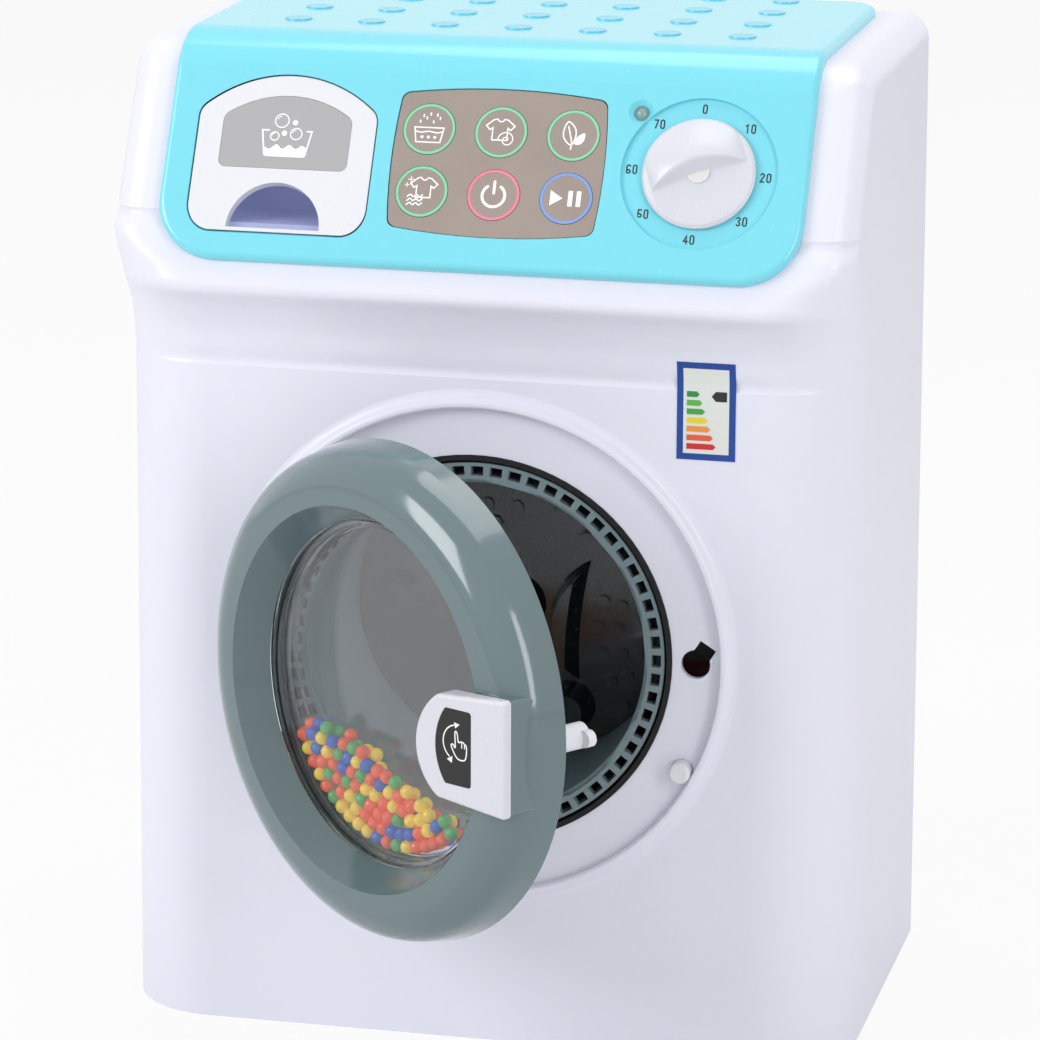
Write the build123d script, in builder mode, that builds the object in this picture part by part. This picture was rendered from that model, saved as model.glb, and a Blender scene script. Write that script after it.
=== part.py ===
from build123d import *
import os
from math import acos, cos, pi, radians, sin, sqrt, tan

os.makedirs("parts", exist_ok=True)

# Toy front-loading washing machine. All sizes are in millimetres.
# Frame: the origin lies on the floor in the middle of the base, +Z is up and the front faces -Y.

# ---------------------------------------------------------------- driving dimensions
WIDTH = 200.0  # across the base
DEPTH = 116.0  # from the flat front wall to the back
CROWN = 264.5  # height of the white top beside the cover
DRAFT = 1.2  # how much each side leans in over that height
EDGE_R = 7.0  # rounding between the top and the sides
WALL = 2.2
FRONT_Y = -DEPTH / 2
BACK_Y = DEPTH / 2

LEAN = 29.15  # the console slope leans back from the vertical, degrees
SLOPE_Y = FRONT_Y - 3.8  # a point of the white slope
SLOPE_Z = 216.8
FOLD_R = 14.4  # bend between the slope and the top
COVER_T = 2.6  # thickness of the console cover
COVER_HALF = 85.5
COVER_FOOT = -6.2  # lower edge of the cover, measured up the slope

AXIS_Z = 108.8  # height of the drum axis
PORT_R = 52.8  # hole in the front wall
DOOR_R = 65.5
DOOR_BACK_Y = FRONT_Y - 4.2  # rear plane of the closed door
REST_OPEN = 36.25  # the door stands this far open at rest, degrees
HINGE_X = -61.95
HINGE_Y = FRONT_Y - 7.25

DRUM_R = 50.6
DRUM_FACE_Y = FRONT_Y + 0.8
DRUM_FLOOR_Y = -8.0  # front of the drum's rear wall
LATCH_U = 59.0  # latch axis, outwards from the door's centre
PIN_AT = (55.7, AXIS_Z - 29.0)  # door switch plunger

DRAWER_X = -53.2
PANEL_X = 4.1
PANEL_S = 23.05  # centre of the button panel, up the slope
BUTTON_PITCH = 19.15
BUTTON_ROW = 8.54
BUTTON_R = 6.9
DIAL_X = 57.2
DIAL_S = 22.8
DISH_R = 20.5
KNOB_R = 14.75
LED_AT = (40.3, 38.8)

GEAR_MODULE = 0.8
DRUM_TEETH = 54
PINION_TEETH = 18
GEAR_Y = (-3.0, 2.0)
PLATE_Y = (4.0, 7.0)  # motor bracket
POST_X = 62.0
POST_Z = 46.0

# The slope: x across, y up the slope, z out of the white surface.
SLOPE = Plane(origin=(0, SLOPE_Y, SLOPE_Z), x_dir=(1, 0, 0), z_dir=(0, -cos(radians(LEAN)), sin(radians(LEAN))))
# The front, seen from outside: x across, y up from the drum axis, z towards the viewer.
FRONT = Plane(origin=(0, 0, AXIS_Z), x_dir=(1, 0, 0), z_dir=(0, -1, 0))
DOOR = Plane(origin=(0, DOOR_BACK_Y, AXIS_Z), x_dir=(1, 0, 0), z_dir=(0, -1, 0))


# ---------------------------------------------------------------- housing form
LIP_START = 182.0  # the front wall starts to curve out here
LIP_R = 28.0
HEAD_CORNER = 8.8  # plan radius of the console's front corners
BODY_CORNER = 25.0


def lip_reach(z):
    """How far the front stands out of the wall's plane at height z."""
    if z <= LIP_START:
        return 0.0
    slope = -(SLOPE_Y - FRONT_Y) - (z - SLOPE_Z) * tan(radians(LEAN))
    rise = min(z - LIP_START, LIP_R)
    under = LIP_R - sqrt(LIP_R**2 - rise**2)
    blend = 0.9 * min(1.0, rise / 12)
    return (slope + under) / 2 - sqrt((slope - under) ** 2 / 4 + blend**2)


def corner_radius(z):
    """Plan radius of the front corners: large on the body, small on the console."""
    share = min(max((z - 203.0) / 15.0, 0.0), 1.0)
    share = share * share * (3 - 2 * share)
    return BODY_CORNER + (HEAD_CORNER - BODY_CORNER) * share


def fold_points(inset):
    """Tangent points and centre of the bend between the slope and the top, in Y and Z."""
    radius = FOLD_R - inset
    lean = radians(LEAN)
    y_foot = SLOPE_Y + inset * cos(lean)
    z_foot = SLOPE_Z - inset * sin(lean)
    top = CROWN - inset
    corner_y = y_foot + (top - z_foot) * tan(lean)
    reach = radius * tan((pi / 2 - lean) / 2)
    low = (corner_y - reach * sin(lean), top - reach * cos(lean))
    high = (corner_y + reach, top)
    return low, high, radius


def top_edge_cutter(inset, y_back):
    """What the rounded right-hand edge of the top and of the bend takes away."""
    low, high, radius = fold_points(inset)
    round_r = EDGE_R - inset
    side = WIDTH / 2 - DRAFT - inset
    slip = 0.03  # lets the rounding cross both faces instead of only touching them
    middle = (side - round_r * (1 - cos(pi / 4)) + slip, high[1] - round_r * (1 - cos(pi / 4)) + slip)
    with BuildPart() as cutter:
        with BuildSketch(Plane.XZ.offset(-y_back - 1)) as corner:
            with BuildLine():
                Polyline(
                    (side - round_r, high[1] + slip),
                    (side - round_r, high[1] + 5),
                    (side + 5, high[1] + 5),
                    (side + 5, high[1] - round_r),
                    (side + slip, high[1] - round_r),
                )
                ThreePointArc((side + slip, high[1] - round_r), middle, (side - round_r, high[1] + slip))
            make_face()
        extrude(amount=y_back + 1 - high[0])
        end = corner.sketch.moved(Location((0, high[0] - y_back - 1, 0)))
        bend_axis = Axis((0, high[0], high[1] - radius), (1, 0, 0))
        add(revolve(end, axis=bend_axis, revolution_arc=90 - LEAN, mode=Mode.PRIVATE))
    return cutter.part


def housing_form(inset, z_floor, y_back):
    """The closed outer shape, drawn in by inset on every side."""
    curved = [LIP_START, 186, 190, 194, 198, 201, 203.5, 205.5, 207.5, 210, 213, 216, 219, 223]
    runs = [[z_floor, LIP_START], curved, [223, 280]]
    low, high, radius = fold_points(inset)
    lean = radians(LEAN)
    away = (low[0] - 100 * cos(lean), low[1] + 100 * sin(lean))
    middle_y = high[0] - radius * sin((pi / 2 - lean) / 2)
    middle_z = high[1] - radius * (1 - cos((pi / 2 - lean) / 2))
    with BuildPart() as form:
        for run in runs:
            for z in run:
                y_front = FRONT_Y - lip_reach(z) + inset
                half = WIDTH / 2 - DRAFT * z / CROWN - inset
                with BuildSketch(Plane.XY.offset(z)):
                    with Locations((0, (y_front + y_back) / 2)):
                        Rectangle(2 * half, y_back - y_front)
                    corners = vertices().group_by(Axis.Y)[0]
                    fillet(corners, corner_radius(z) - inset)
            loft(ruled=len(run) == 2)
        with BuildSketch(Plane.YZ):
            with BuildLine():
                Polyline((high[0], high[1]), (150, high[1]), (150, -20), (-220, -20), away, low)
                ThreePointArc(low, (middle_y, middle_z), high)
            make_face()
        extrude(amount=150, both=True, mode=Mode.INTERSECT)
        edge = top_edge_cutter(inset, y_back)
        add(edge, mode=Mode.SUBTRACT)
        add(edge.mirror(Plane.YZ), mode=Mode.SUBTRACT)
    return form.part


outer_form = housing_form(0.0, 0.0, BACK_Y)
cavity_form = housing_form(WALL, -1.0, BACK_Y + 1)
lining_form = housing_form(WALL + 0.25, -1.0, BACK_Y + 1)

SCREW_R = 1.4
BACK_SCREWS = [(-91.0, 30.0), (91.0, 30.0), (-91.0, 140.0), (91.0, 140.0), (-90.0, 246.0), (90.0, 246.0)]
BASE_SCREWS = [(-88.0, -30.0), (88.0, -30.0), (-88.0, 42.0), (88.0, 42.0)]
BEAD_IN = 65.8
BEAD_OUT = 70.0
BEAD_H = 2.6
DISC_STEP = 0.4
LATCH_HOLE_R = 3.9
NOTCH_ANGLE = 57.4

with BuildPart() as front_housing:
    add(outer_form)
    # Round bead around the door's seat.
    with BuildSketch(Plane.XY.offset(AXIS_Z)):
        with BuildLine():
            Line((BEAD_IN, FRONT_Y + 1), (BEAD_IN, FRONT_Y - BEAD_H + 0.5))
            Line((BEAD_IN, FRONT_Y - BEAD_H + 0.5), (BEAD_IN + 0.5, FRONT_Y - BEAD_H))
            Line((BEAD_IN + 0.5, FRONT_Y - BEAD_H), (BEAD_IN + 1.0, FRONT_Y - BEAD_H))
            Spline(
                (BEAD_IN + 1.0, FRONT_Y - BEAD_H),
                (BEAD_OUT - 1.5, FRONT_Y - 0.9),
                (BEAD_OUT + 0.6, FRONT_Y),
                tangents=((1, 0), (1, 0.2)),
            )
            Line((BEAD_OUT + 0.6, FRONT_Y), (BEAD_OUT + 0.6, FRONT_Y + 1))
            Line((BEAD_OUT + 0.6, FRONT_Y + 1), (BEAD_IN, FRONT_Y + 1))
        make_face()
    revolve(axis=Axis((0, 0, AXIS_Z), (0, 1, 0)))
    add(cavity_form, mode=Mode.SUBTRACT)
    # Local thickening behind the keyhole and the plunger, and the four bracket posts.
    with BuildSketch(FRONT.offset(-FRONT_Y - WALL)):
        with Locations((POST_X, POST_Z), (-POST_X, POST_Z), (POST_X, -POST_Z), (-POST_X, -POST_Z)):
            Circle(4.2)
    extrude(amount=-(PLATE_Y[0] - FRONT_Y - WALL))
    with BuildSketch(FRONT.offset(-PLATE_Y[0])):
        with Locations((POST_X, POST_Z), (-POST_X, POST_Z), (POST_X, -POST_Z), (-POST_X, -POST_Z)):
            Circle(SCREW_R + 0.05)
    extrude(amount=11, mode=Mode.SUBTRACT)
    # Bosses for the back panel's screws, on the side walls.
    for x, z in BACK_SCREWS:
        reach = 98.5 - abs(x)
        outward = 1 if x > 0 else -1
        with BuildSketch(Plane.XZ.offset(-BACK_Y + WALL + 0.3)):
            with Locations((x, z)):
                Circle(4.0)
            with Locations((x + outward * reach / 2, z)):
                Rectangle(reach, 3.0)
        extrude(amount=16)
        with BuildSketch(Plane.XZ.offset(-BACK_Y)):
            with Locations((x, z)):
                Circle(SCREW_R + 0.05)
        extrude(amount=14, mode=Mode.SUBTRACT)
    # Bosses for the base's screws.
    for x, y in BASE_SCREWS:
        reach = 98.5 - abs(x)
        outward = 1 if x > 0 else -1
        with BuildSketch(Plane.XY.offset(WALL + 0.3)):
            with Locations((x, y)):
                Circle(4.0)
            with Locations((x + outward * reach / 2, y)):
                Rectangle(reach, 3.0)
        extrude(amount=14)
        with BuildSketch(Plane.XY.offset(WALL)):
            with Locations((x, y)):
                Circle(SCREW_R + 0.05)
        extrude(amount=12, mode=Mode.SUBTRACT)
    # Door seat, a shallow step inside the bead.
    with BuildSketch(FRONT.offset(-FRONT_Y - DISC_STEP)):
        Circle(BEAD_IN)
    extrude(amount=DISC_STEP, mode=Mode.SUBTRACT)
    # Porthole, keyhole and plunger hole.
    with BuildSketch(FRONT.offset(-FRONT_Y + 5)):
        Circle(PORT_R)
        with Locations((PIN_AT[0], PIN_AT[1] - AXIS_Z)):
            Circle(2.95)
        with Locations((LATCH_U, 0)):
            Circle(LATCH_HOLE_R)
        with Locations(Location((LATCH_U, 0, 0), (0, 0, NOTCH_ANGLE))):
            with Locations((3.1, 0)):
                Rectangle(6.2, 4.9)
    extrude(amount=-12, mode=Mode.SUBTRACT)
    # Window under the console cover.
    with BuildSketch(SLOPE.offset(5)):
        with Locations((0, 22.5)):
            Rectangle(160, 48)
        fillet(vertices(), 6)
    extrude(amount=-14, mode=Mode.SUBTRACT)
front_housing.part.label = "front_housing"
export_step(front_housing.part, "parts/front_housing.step")

with BuildPart() as base_plate:
    add(lining_form)
    with BuildSketch(Plane.XY):
        with Locations((0, -5)):
            Rectangle(220, 125.6)
    extrude(amount=WALL, mode=Mode.INTERSECT)
    with Locations(*[Location((x, y, 0), (180, 0, 0)) for x, y in BASE_SCREWS]):
        CounterSinkHole(radius=SCREW_R + 0.1, counter_sink_radius=2.9, depth=WALL)
base_plate.part.label = "base_plate"
export_step(base_plate.part, "parts/base_plate.step")

# ---------------------------------------------------------------- back panel, battery and speaker
PANEL_FRONT_Y = BACK_Y - 2.4
PANEL_REAR_Y = BACK_Y - 0.2
BATTERY_Z = 39.0
SPEAKER_AT = (42.0, 178.0)
HATCH = (56.0, 48.0)

with BuildPart() as back_panel:
    add(lining_form)
    with BuildSketch(Plane.XZ.offset(-PANEL_REAR_Y)):
        with Locations((0, 140)):
            Rectangle(220, 275.2)
    extrude(amount=PANEL_REAR_Y - PANEL_FRONT_Y, mode=Mode.INTERSECT)
    with BuildSketch(Plane.XZ.offset(-PANEL_REAR_Y)):
        with Locations((0, BATTERY_Z)):
            RectangleRounded(HATCH[0], HATCH[1], 3)
        with Locations(SPEAKER_AT):
            with PolarLocations(5, 6):
                Circle(1.5)
            with PolarLocations(10, 12):
                Circle(1.5)
            Circle(1.5)
        with Locations(*BACK_SCREWS):
            Circle(SCREW_R + 0.1)
    extrude(amount=6, both=True, mode=Mode.SUBTRACT)
    with BuildSketch(Plane.XZ.offset(-PANEL_REAR_Y)):
        with Locations(*BACK_SCREWS):
            Circle(3.2)
    extrude(amount=1.0, mode=Mode.SUBTRACT)
back_panel.part.label = "back_panel"
export_step(back_panel.part, "parts/back_panel.step")

with BuildPart() as back_screws:
    with BuildSketch(Plane.XZ.offset(-PANEL_REAR_Y + 1.0)):
        with Locations(*BACK_SCREWS):
            Circle(2.8)
    extrude(amount=-0.9)
    with BuildSketch(Plane.XZ.offset(-PANEL_REAR_Y + 1.0)):
        with Locations(*BACK_SCREWS):
            Circle(SCREW_R)
    extrude(amount=10)
    with BuildSketch(Plane.XZ.offset(-PANEL_REAR_Y + 0.1)):
        with Locations(*BACK_SCREWS):
            Rectangle(3.4, 0.7)
            Rectangle(0.7, 3.4)
    extrude(amount=0.5, mode=Mode.SUBTRACT)
back_screws.part.label = "back_screws"
export_step(back_screws.part, "parts/back_screws.step")

with BuildPart() as base_screws:
    with Locations(*[(x, y, 0) for x, y in BASE_SCREWS]):
        Cone(bottom_radius=2.8, top_radius=SCREW_R, height=1.4, align=(Align.CENTER, Align.CENTER, Align.MIN))
        Cylinder(SCREW_R, 12, align=(Align.CENTER, Align.CENTER, Align.MIN))
    with BuildSketch(Plane.XY):
        with Locations(*BASE_SCREWS):
            Rectangle(3.2, 0.7)
            Rectangle(0.7, 3.2)
    extrude(amount=0.5, mode=Mode.SUBTRACT)
base_screws.part.label = "base_screws"
export_step(base_screws.part, "parts/base_screws.step")

BOX_FRONT_Y = 37.5
CELL_R = 7.1
CELL_Y = 47.0
CELL_ROWS = [BATTERY_Z - 15.0, BATTERY_Z, BATTERY_Z + 15.0]

with BuildPart() as battery_box:
    with BuildSketch(Plane.XZ.offset(-PANEL_FRONT_Y)):
        with Locations((0, BATTERY_Z)):
            Rectangle(62, 53)
    extrude(amount=PANEL_FRONT_Y - BOX_FRONT_Y)
    with BuildSketch(Plane.XZ.offset(-PANEL_FRONT_Y)):
        with Locations((0, BATTERY_Z)):
            Rectangle(55, 47)
    extrude(amount=PANEL_FRONT_Y - BOX_FRONT_Y - 1.6, mode=Mode.SUBTRACT)
battery_box.part.label = "battery_box"
export_step(battery_box.part, "parts/battery_box.step")

with BuildPart() as batteries:
    with BuildSketch(Plane.YZ.offset(-24.5)):
        with Locations(*[(CELL_Y, z) for z in CELL_ROWS]):
            Circle(CELL_R)
    extrude(amount=48.5)
    with BuildSketch(Plane.YZ.offset(24.0)):
        with Locations(*[(CELL_Y, z) for z in CELL_ROWS]):
            Circle(2.6)
    extrude(amount=1.5)
batteries.part.label = "batteries"
export_step(batteries.part, "parts/batteries.step")

with BuildPart() as battery_contacts:
    for x in (-27.4, 25.6):
        with BuildSketch(Plane.YZ.offset(x)):
            with Locations(*[(CELL_Y, z) for z in CELL_ROWS]):
                Rectangle(9, 11)
        extrude(amount=1.6)
battery_contacts.part.label = "battery_contacts"
export_step(battery_contacts.part, "parts/battery_contacts.step")

with BuildPart() as battery_hatch:
    with BuildSketch(Plane.XZ.offset(-PANEL_REAR_Y)):
        with Locations((0, BATTERY_Z)):
            RectangleRounded(HATCH[0] - 0.6, HATCH[1] - 0.6, 2.7)
    extrude(amount=PANEL_REAR_Y - PANEL_FRONT_Y)
    with BuildSketch(Plane.XZ.offset(-PANEL_REAR_Y)):
        with GridLocations(0, 4, 1, 5):
            with Locations((0, BATTERY_Z)):
                SlotOverall(20, 1.6)
        with Locations((0, BATTERY_Z + 20)):
            Circle(2.6)
    extrude(amount=0.6, mode=Mode.SUBTRACT)
battery_hatch.part.label = "battery_hatch"
export_step(battery_hatch.part, "parts/battery_hatch.step")

with BuildPart() as hatch_screw:
    with BuildSketch(Plane.XZ.offset(-PANEL_REAR_Y + 0.6)):
        with Locations((0, BATTERY_Z + 20)):
            Circle(2.4)
    extrude(amount=-0.5)
    with BuildSketch(Plane.XZ.offset(-PANEL_REAR_Y + 0.1)):
        with Locations((0, BATTERY_Z + 20)):
            Rectangle(3.2, 0.7)
            Rectangle(0.7, 3.2)
    extrude(amount=0.4, mode=Mode.SUBTRACT)
hatch_screw.part.label = "hatch_screw"
export_step(hatch_screw.part, "parts/hatch_screw.step")

with BuildPart() as speaker:
    with BuildSketch(Plane.XZ.offset(-PANEL_FRONT_Y)):
        with Locations(SPEAKER_AT):
            Circle(18)
    extrude(amount=1.4)
    with BuildSketch(Plane.XZ.offset(-PANEL_FRONT_Y + 1.4)):
        with Locations(SPEAKER_AT):
            Circle(15)
    extrude(amount=4, taper=30)
    with BuildSketch(Plane.XZ.offset(-PANEL_FRONT_Y + 5.4)):
        with Locations(SPEAKER_AT):
            Circle(9)
    extrude(amount=4.5)
    with BuildSketch(Plane.XZ.offset(-PANEL_FRONT_Y)):
        with Locations(SPEAKER_AT):
            Circle(13)
    extrude(amount=3.6, taper=40, mode=Mode.SUBTRACT)
speaker.part.label = "speaker"
export_step(speaker.part, "parts/speaker.step")

# ---------------------------------------------------------------- console cover and what it carries
DRAWER_HALF = 23.9
ARCH_RISE = 8.7
DRAWER_LOW_Z = 219.2
DRAWER_SHOULDER_Z = 248.0
DRAWER_GAP = 0.45


def arched_outline(half, low, shoulder, rise, round_low, round_top):
    """A panel outline with an arched top, centred on x = 0."""
    with BuildSketch() as outline:
        with BuildLine():
            Polyline((-half, shoulder), (-half, low), (half, low), (half, shoulder))
            ThreePointArc((half, shoulder), (0, shoulder + rise), (-half, shoulder))
        make_face()
        fillet(vertices().group_by(Axis.Y)[0], round_low)
        fillet(vertices().group_by(Axis.Y)[-1], round_top)
    return outline.sketch


def barrel_outline(grow):
    """The button panel's outline: a rectangle whose four sides bulge."""
    half_x = 27.0 + grow
    half_y = 18.1 + grow
    with BuildSketch() as outline:
        with BuildLine():
            ThreePointArc((-half_x, half_y), (0, half_y + 2.0), (half_x, half_y))
            ThreePointArc((half_x, half_y), (half_x + 1.1, 0), (half_x, -half_y))
            ThreePointArc((half_x, -half_y), (0, -half_y - 2.0), (-half_x, -half_y))
            ThreePointArc((-half_x, -half_y), (-half_x - 1.1, 0), (-half_x, half_y))
        make_face()
        fillet(vertices(), 2.6)
    return outline.sketch


BUTTONS = {
    "soak_button": (-1, 1),
    "rinse_button": (0, 1),
    "eco_button": (1, 1),
    "dry_button": (-1, -1),
    "power_button": (0, -1),
    "play_button": (1, -1),
}
BUTTON_SPOTS = [(PANEL_X + i * BUTTON_PITCH, PANEL_S + j * BUTTON_ROW) for i, j in BUTTONS.values()]
BOARD_POSTS = [(-27.6, 4.0), (-27.6, 42.0), (72.0, 4.0), (72.0, 42.0)]
BOARD_T = -7.0  # rear face of the control board, below the white surface
DOT_PITCH = (20.1, 21.0)

with BuildPart() as console_cover:
    fold_low, fold_high, fold_r = fold_points(0.0)
    outer_low, outer_high, outer_r = fold_points(-COVER_T)
    half_turn = radians(90 - LEAN) / 2
    foot = SLOPE.from_local_coords(Vector(0, COVER_FOOT, 0))
    outer_foot = SLOPE.from_local_coords(Vector(0, COVER_FOOT, COVER_T))
    inner_mid = (fold_high[0] - fold_r * sin(half_turn), CROWN - fold_r * (1 - cos(half_turn)))
    outer_mid = (outer_high[0] - outer_r * sin(half_turn), CROWN + COVER_T - outer_r * (1 - cos(half_turn)))
    with BuildSketch(Plane.YZ):
        with BuildLine():
            Line((foot.Y, foot.Z), fold_low)
            ThreePointArc(fold_low, inner_mid, fold_high)
            Polyline(fold_high, (BACK_Y - 0.6, CROWN), (BACK_Y - 0.6, CROWN + COVER_T), outer_high)
            ThreePointArc(outer_high, outer_mid, outer_low)
            Polyline(outer_low, (outer_foot.Y, outer_foot.Z), (foot.Y, foot.Z))
        make_face()
    extrude(amount=COVER_HALF, both=True)
    with BuildSketch(SLOPE.offset(40)):
        with Locations((0, COVER_FOOT + 150)):
            Rectangle(2 * COVER_HALF, 300)
        fillet(vertices().group_by(Axis.Y)[0], 16.5)
    extrude(amount=-200, mode=Mode.INTERSECT)
    with BuildSketch(Plane.XY):
        with Locations((0, BACK_Y - 0.6 - 100)):
            Rectangle(2 * COVER_HALF, 200)
        fillet(vertices().group_by(Axis.Y)[-1], 10)
    extrude(amount=400, mode=Mode.INTERSECT)
    rim = console_cover.faces().filter_by(lambda f: f.normal_at().dot(SLOPE.z_dir) > 0.999).sort_by(Axis.Z)[-1]
    fillet(rim.outer_wire().edges().sort_by(Axis.Z)[0], 1.8)
    # Shallow dish around the dial, openings for the drawer, the buttons, the dial and the lamp.
    with BuildSketch(SLOPE.offset(COVER_T + 1)):
        with Locations((DIAL_X, DIAL_S)):
            Circle(DISH_R)
    extrude(amount=-1.9, mode=Mode.SUBTRACT)
    with BuildSketch(SLOPE.offset(COVER_T + 1)):
        with Locations((PANEL_X, PANEL_S)):
            add(barrel_outline(0.25))
        with Locations((DIAL_X, DIAL_S)):
            Circle(3.6)
        with Locations(LED_AT):
            Circle(2.0)
    extrude(amount=-8, mode=Mode.SUBTRACT)
    with BuildSketch(SLOPE.offset(COVER_T)):
        with Locations(LED_AT):
            Circle(3.3)
    extrude(amount=-1.3, taper=45, mode=Mode.SUBTRACT)
    with BuildSketch(Plane.XZ.offset(30)):
        with Locations((DRAWER_X, 0)):
            add(
                arched_outline(
                    DRAWER_HALF + DRAWER_GAP,
                    DRAWER_LOW_Z - DRAWER_GAP,
                    DRAWER_SHOULDER_Z + DRAWER_GAP / 2,
                    ARCH_RISE + DRAWER_GAP / 2,
                    6.5 + DRAWER_GAP,
                    3.8 + DRAWER_GAP,
                )
            )
    extrude(amount=60, mode=Mode.SUBTRACT)
    add(outer_form, mode=Mode.SUBTRACT)
    # Posts that carry the control board.
    with BuildSketch(SLOPE):
        with Locations(*BOARD_POSTS):
            Circle(1.5)
    extrude(amount=BOARD_T + 1.6)
    # Low round dots on the top.
    with BuildSketch(Plane.XY.offset(CROWN + COVER_T)):
        with Locations((0, 19.4)):
            with GridLocations(DOT_PITCH[0], DOT_PITCH[1], 7, 4):
                Circle(3.7)
    extrude(amount=0.35, taper=20)
console_cover.part.label = "console_cover"
export_step(console_cover.part, "parts/console_cover.step")

with BuildPart() as drawer_front:
    with BuildSketch(Plane.XZ.offset(30)):
        with Locations((DRAWER_X, 0)):
            add(arched_outline(DRAWER_HALF, DRAWER_LOW_Z, DRAWER_SHOULDER_Z, ARCH_RISE, 6.5, 3.8))
    extrude(amount=60)
    with BuildSketch(SLOPE.offset(-0.4)):
        Rectangle(300, 200)
    extrude(amount=COVER_T + 0.2, mode=Mode.INTERSECT)
    # Half-round finger opening and the seat of the label.
    with BuildSketch(SLOPE.offset(10)):
        with Locations((DRAWER_X - 0.5, 2.4)):
            Circle(12.6)
        with Locations((DRAWER_X - 0.5, 2.4 - 10)):
            Rectangle(40, 20, mode=Mode.SUBTRACT)
    extrude(amount=-20, mode=Mode.SUBTRACT)
    with BuildSketch(SLOPE.offset(COVER_T - 0.2)):
        with Locations((DRAWER_X, 0)):
            add(arched_outline(17.4, 18.8, 33.0, 5.9, 2.0, 3.0))
    extrude(amount=-0.7, mode=Mode.SUBTRACT)
drawer_front.part.label = "drawer_front"
export_step(drawer_front.part, "parts/drawer_front.step")

with BuildPart() as drawer_label:
    with BuildSketch(SLOPE.offset(COVER_T - 0.9)):
        with Locations((DRAWER_X, 0)):
            add(arched_outline(17.3, 18.9, 32.95, 5.85, 1.9, 2.9))
    extrude(amount=0.65)
drawer_label.part.label = "drawer_label"
export_step(drawer_label.part, "parts/drawer_label.step")

TRAY_HALF = 18.5
TRAY_LOW = 219.4
TRAY_HIGH = 239.0
TRAY_BACK = -9.0
TRAY_FLOOR = 1.2
DIVIDER_Y = -37.0

with BuildPart() as drawer_tray:
    with BuildSketch(Plane.XY.offset(TRAY_LOW)):
        with Locations((DRAWER_X, (TRAY_BACK - 70) / 2)):
            Rectangle(2 * TRAY_HALF, 70 + TRAY_BACK)
    extrude(amount=TRAY_HIGH - TRAY_LOW)
    with BuildSketch(Plane.XY.offset(TRAY_LOW + TRAY_FLOOR)):
        with Locations((DRAWER_X, (TRAY_BACK - 1.5 - 80) / 2)):
            Rectangle(2 * TRAY_HALF - 3, 80 + TRAY_BACK - 1.5)
        with Locations((DRAWER_X, DIVIDER_Y)):
            Rectangle(2 * TRAY_HALF, 1.5, mode=Mode.SUBTRACT)
    extrude(amount=30, mode=Mode.SUBTRACT)
    with BuildSketch(SLOPE.offset(-0.4)):
        Rectangle(300, 200)
    extrude(amount=40, mode=Mode.SUBTRACT)
drawer_tray.part.label = "drawer_tray"
export_step(drawer_tray.part, "parts/drawer_tray.step")

with BuildPart() as drawer_guide:
    with BuildSketch(Plane.XY.offset(TRAY_LOW - 2.4)):
        with Locations((DRAWER_X, -28)):
            Rectangle(2 * TRAY_HALF + 5, 52)
    extrude(amount=14)
    with BuildSketch(Plane.XY.offset(TRAY_LOW - 0.4)):
        with Locations((DRAWER_X, -30)):
            Rectangle(2 * TRAY_HALF + 0.8, 60)
    extrude(amount=14, mode=Mode.SUBTRACT)
    with BuildSketch(SLOPE.offset(-3.2)):
        Rectangle(300, 200)
    extrude(amount=40, mode=Mode.SUBTRACT)
    # Back stop and two straps up to the underside of the top.
    with BuildSketch(Plane.XY.offset(TRAY_LOW - 2.4)):
        with Locations((DRAWER_X, -3)):
            Rectangle(2 * TRAY_HALF + 5, 4)
    extrude(amount=14)
    with BuildSketch(Plane.XY.offset(TRAY_LOW - 2.4)):
        with Locations((DRAWER_X - TRAY_HALF - 1.0, -3), (DRAWER_X + TRAY_HALF + 1.0, -3)):
            Rectangle(3, 4)
    extrude(amount=CROWN - WALL - TRAY_LOW + 2.4)
drawer_guide.part.label = "drawer_guide"
export_step(drawer_guide.part, "parts/drawer_guide.step")

with BuildPart() as button_frame:
    with BuildSketch(SLOPE.offset(-1.4)):
        with Locations((PANEL_X, PANEL_S)):
            Rectangle(60, 43)
    extrude(amount=1.3)
    with BuildSketch(SLOPE.offset(-0.4)):
        with Locations((PANEL_X, PANEL_S)):
            add(barrel_outline(0.0))
    extrude(amount=1.5)
    with BuildSketch(SLOPE.offset(4)):
        with Locations(*BUTTON_SPOTS):
            Circle(BUTTON_R + 0.2)
    extrude(amount=-8, mode=Mode.SUBTRACT)
button_frame.part.label = "button_frame"
export_step(button_frame.part, "parts/button_frame.step")

with BuildPart() as button_panel:
    with BuildSketch(SLOPE.offset(1.1)):
        with Locations((PANEL_X, PANEL_S)):
            add(barrel_outline(0.0))
        with Locations(*BUTTON_SPOTS):
            Circle(BUTTON_R + 0.12, mode=Mode.SUBTRACT)
    extrude(amount=1.2)
button_panel.part.label = "button_panel"
export_step(button_panel.part, "parts/button_panel.step")

for name, spot in zip(BUTTONS, BUTTON_SPOTS):
    with BuildPart() as button:
        with BuildSketch(SLOPE.offset(-2.6)):
            with Locations(spot):
                Circle(BUTTON_R + 0.9)
        extrude(amount=1.0)
        with BuildSketch(SLOPE.offset(-2.0)):
            with Locations(spot):
                Circle(BUTTON_R)
        extrude(amount=4.35)
    button.part.label = name
    export_step(button.part, f"parts/{name}.step")

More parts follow.
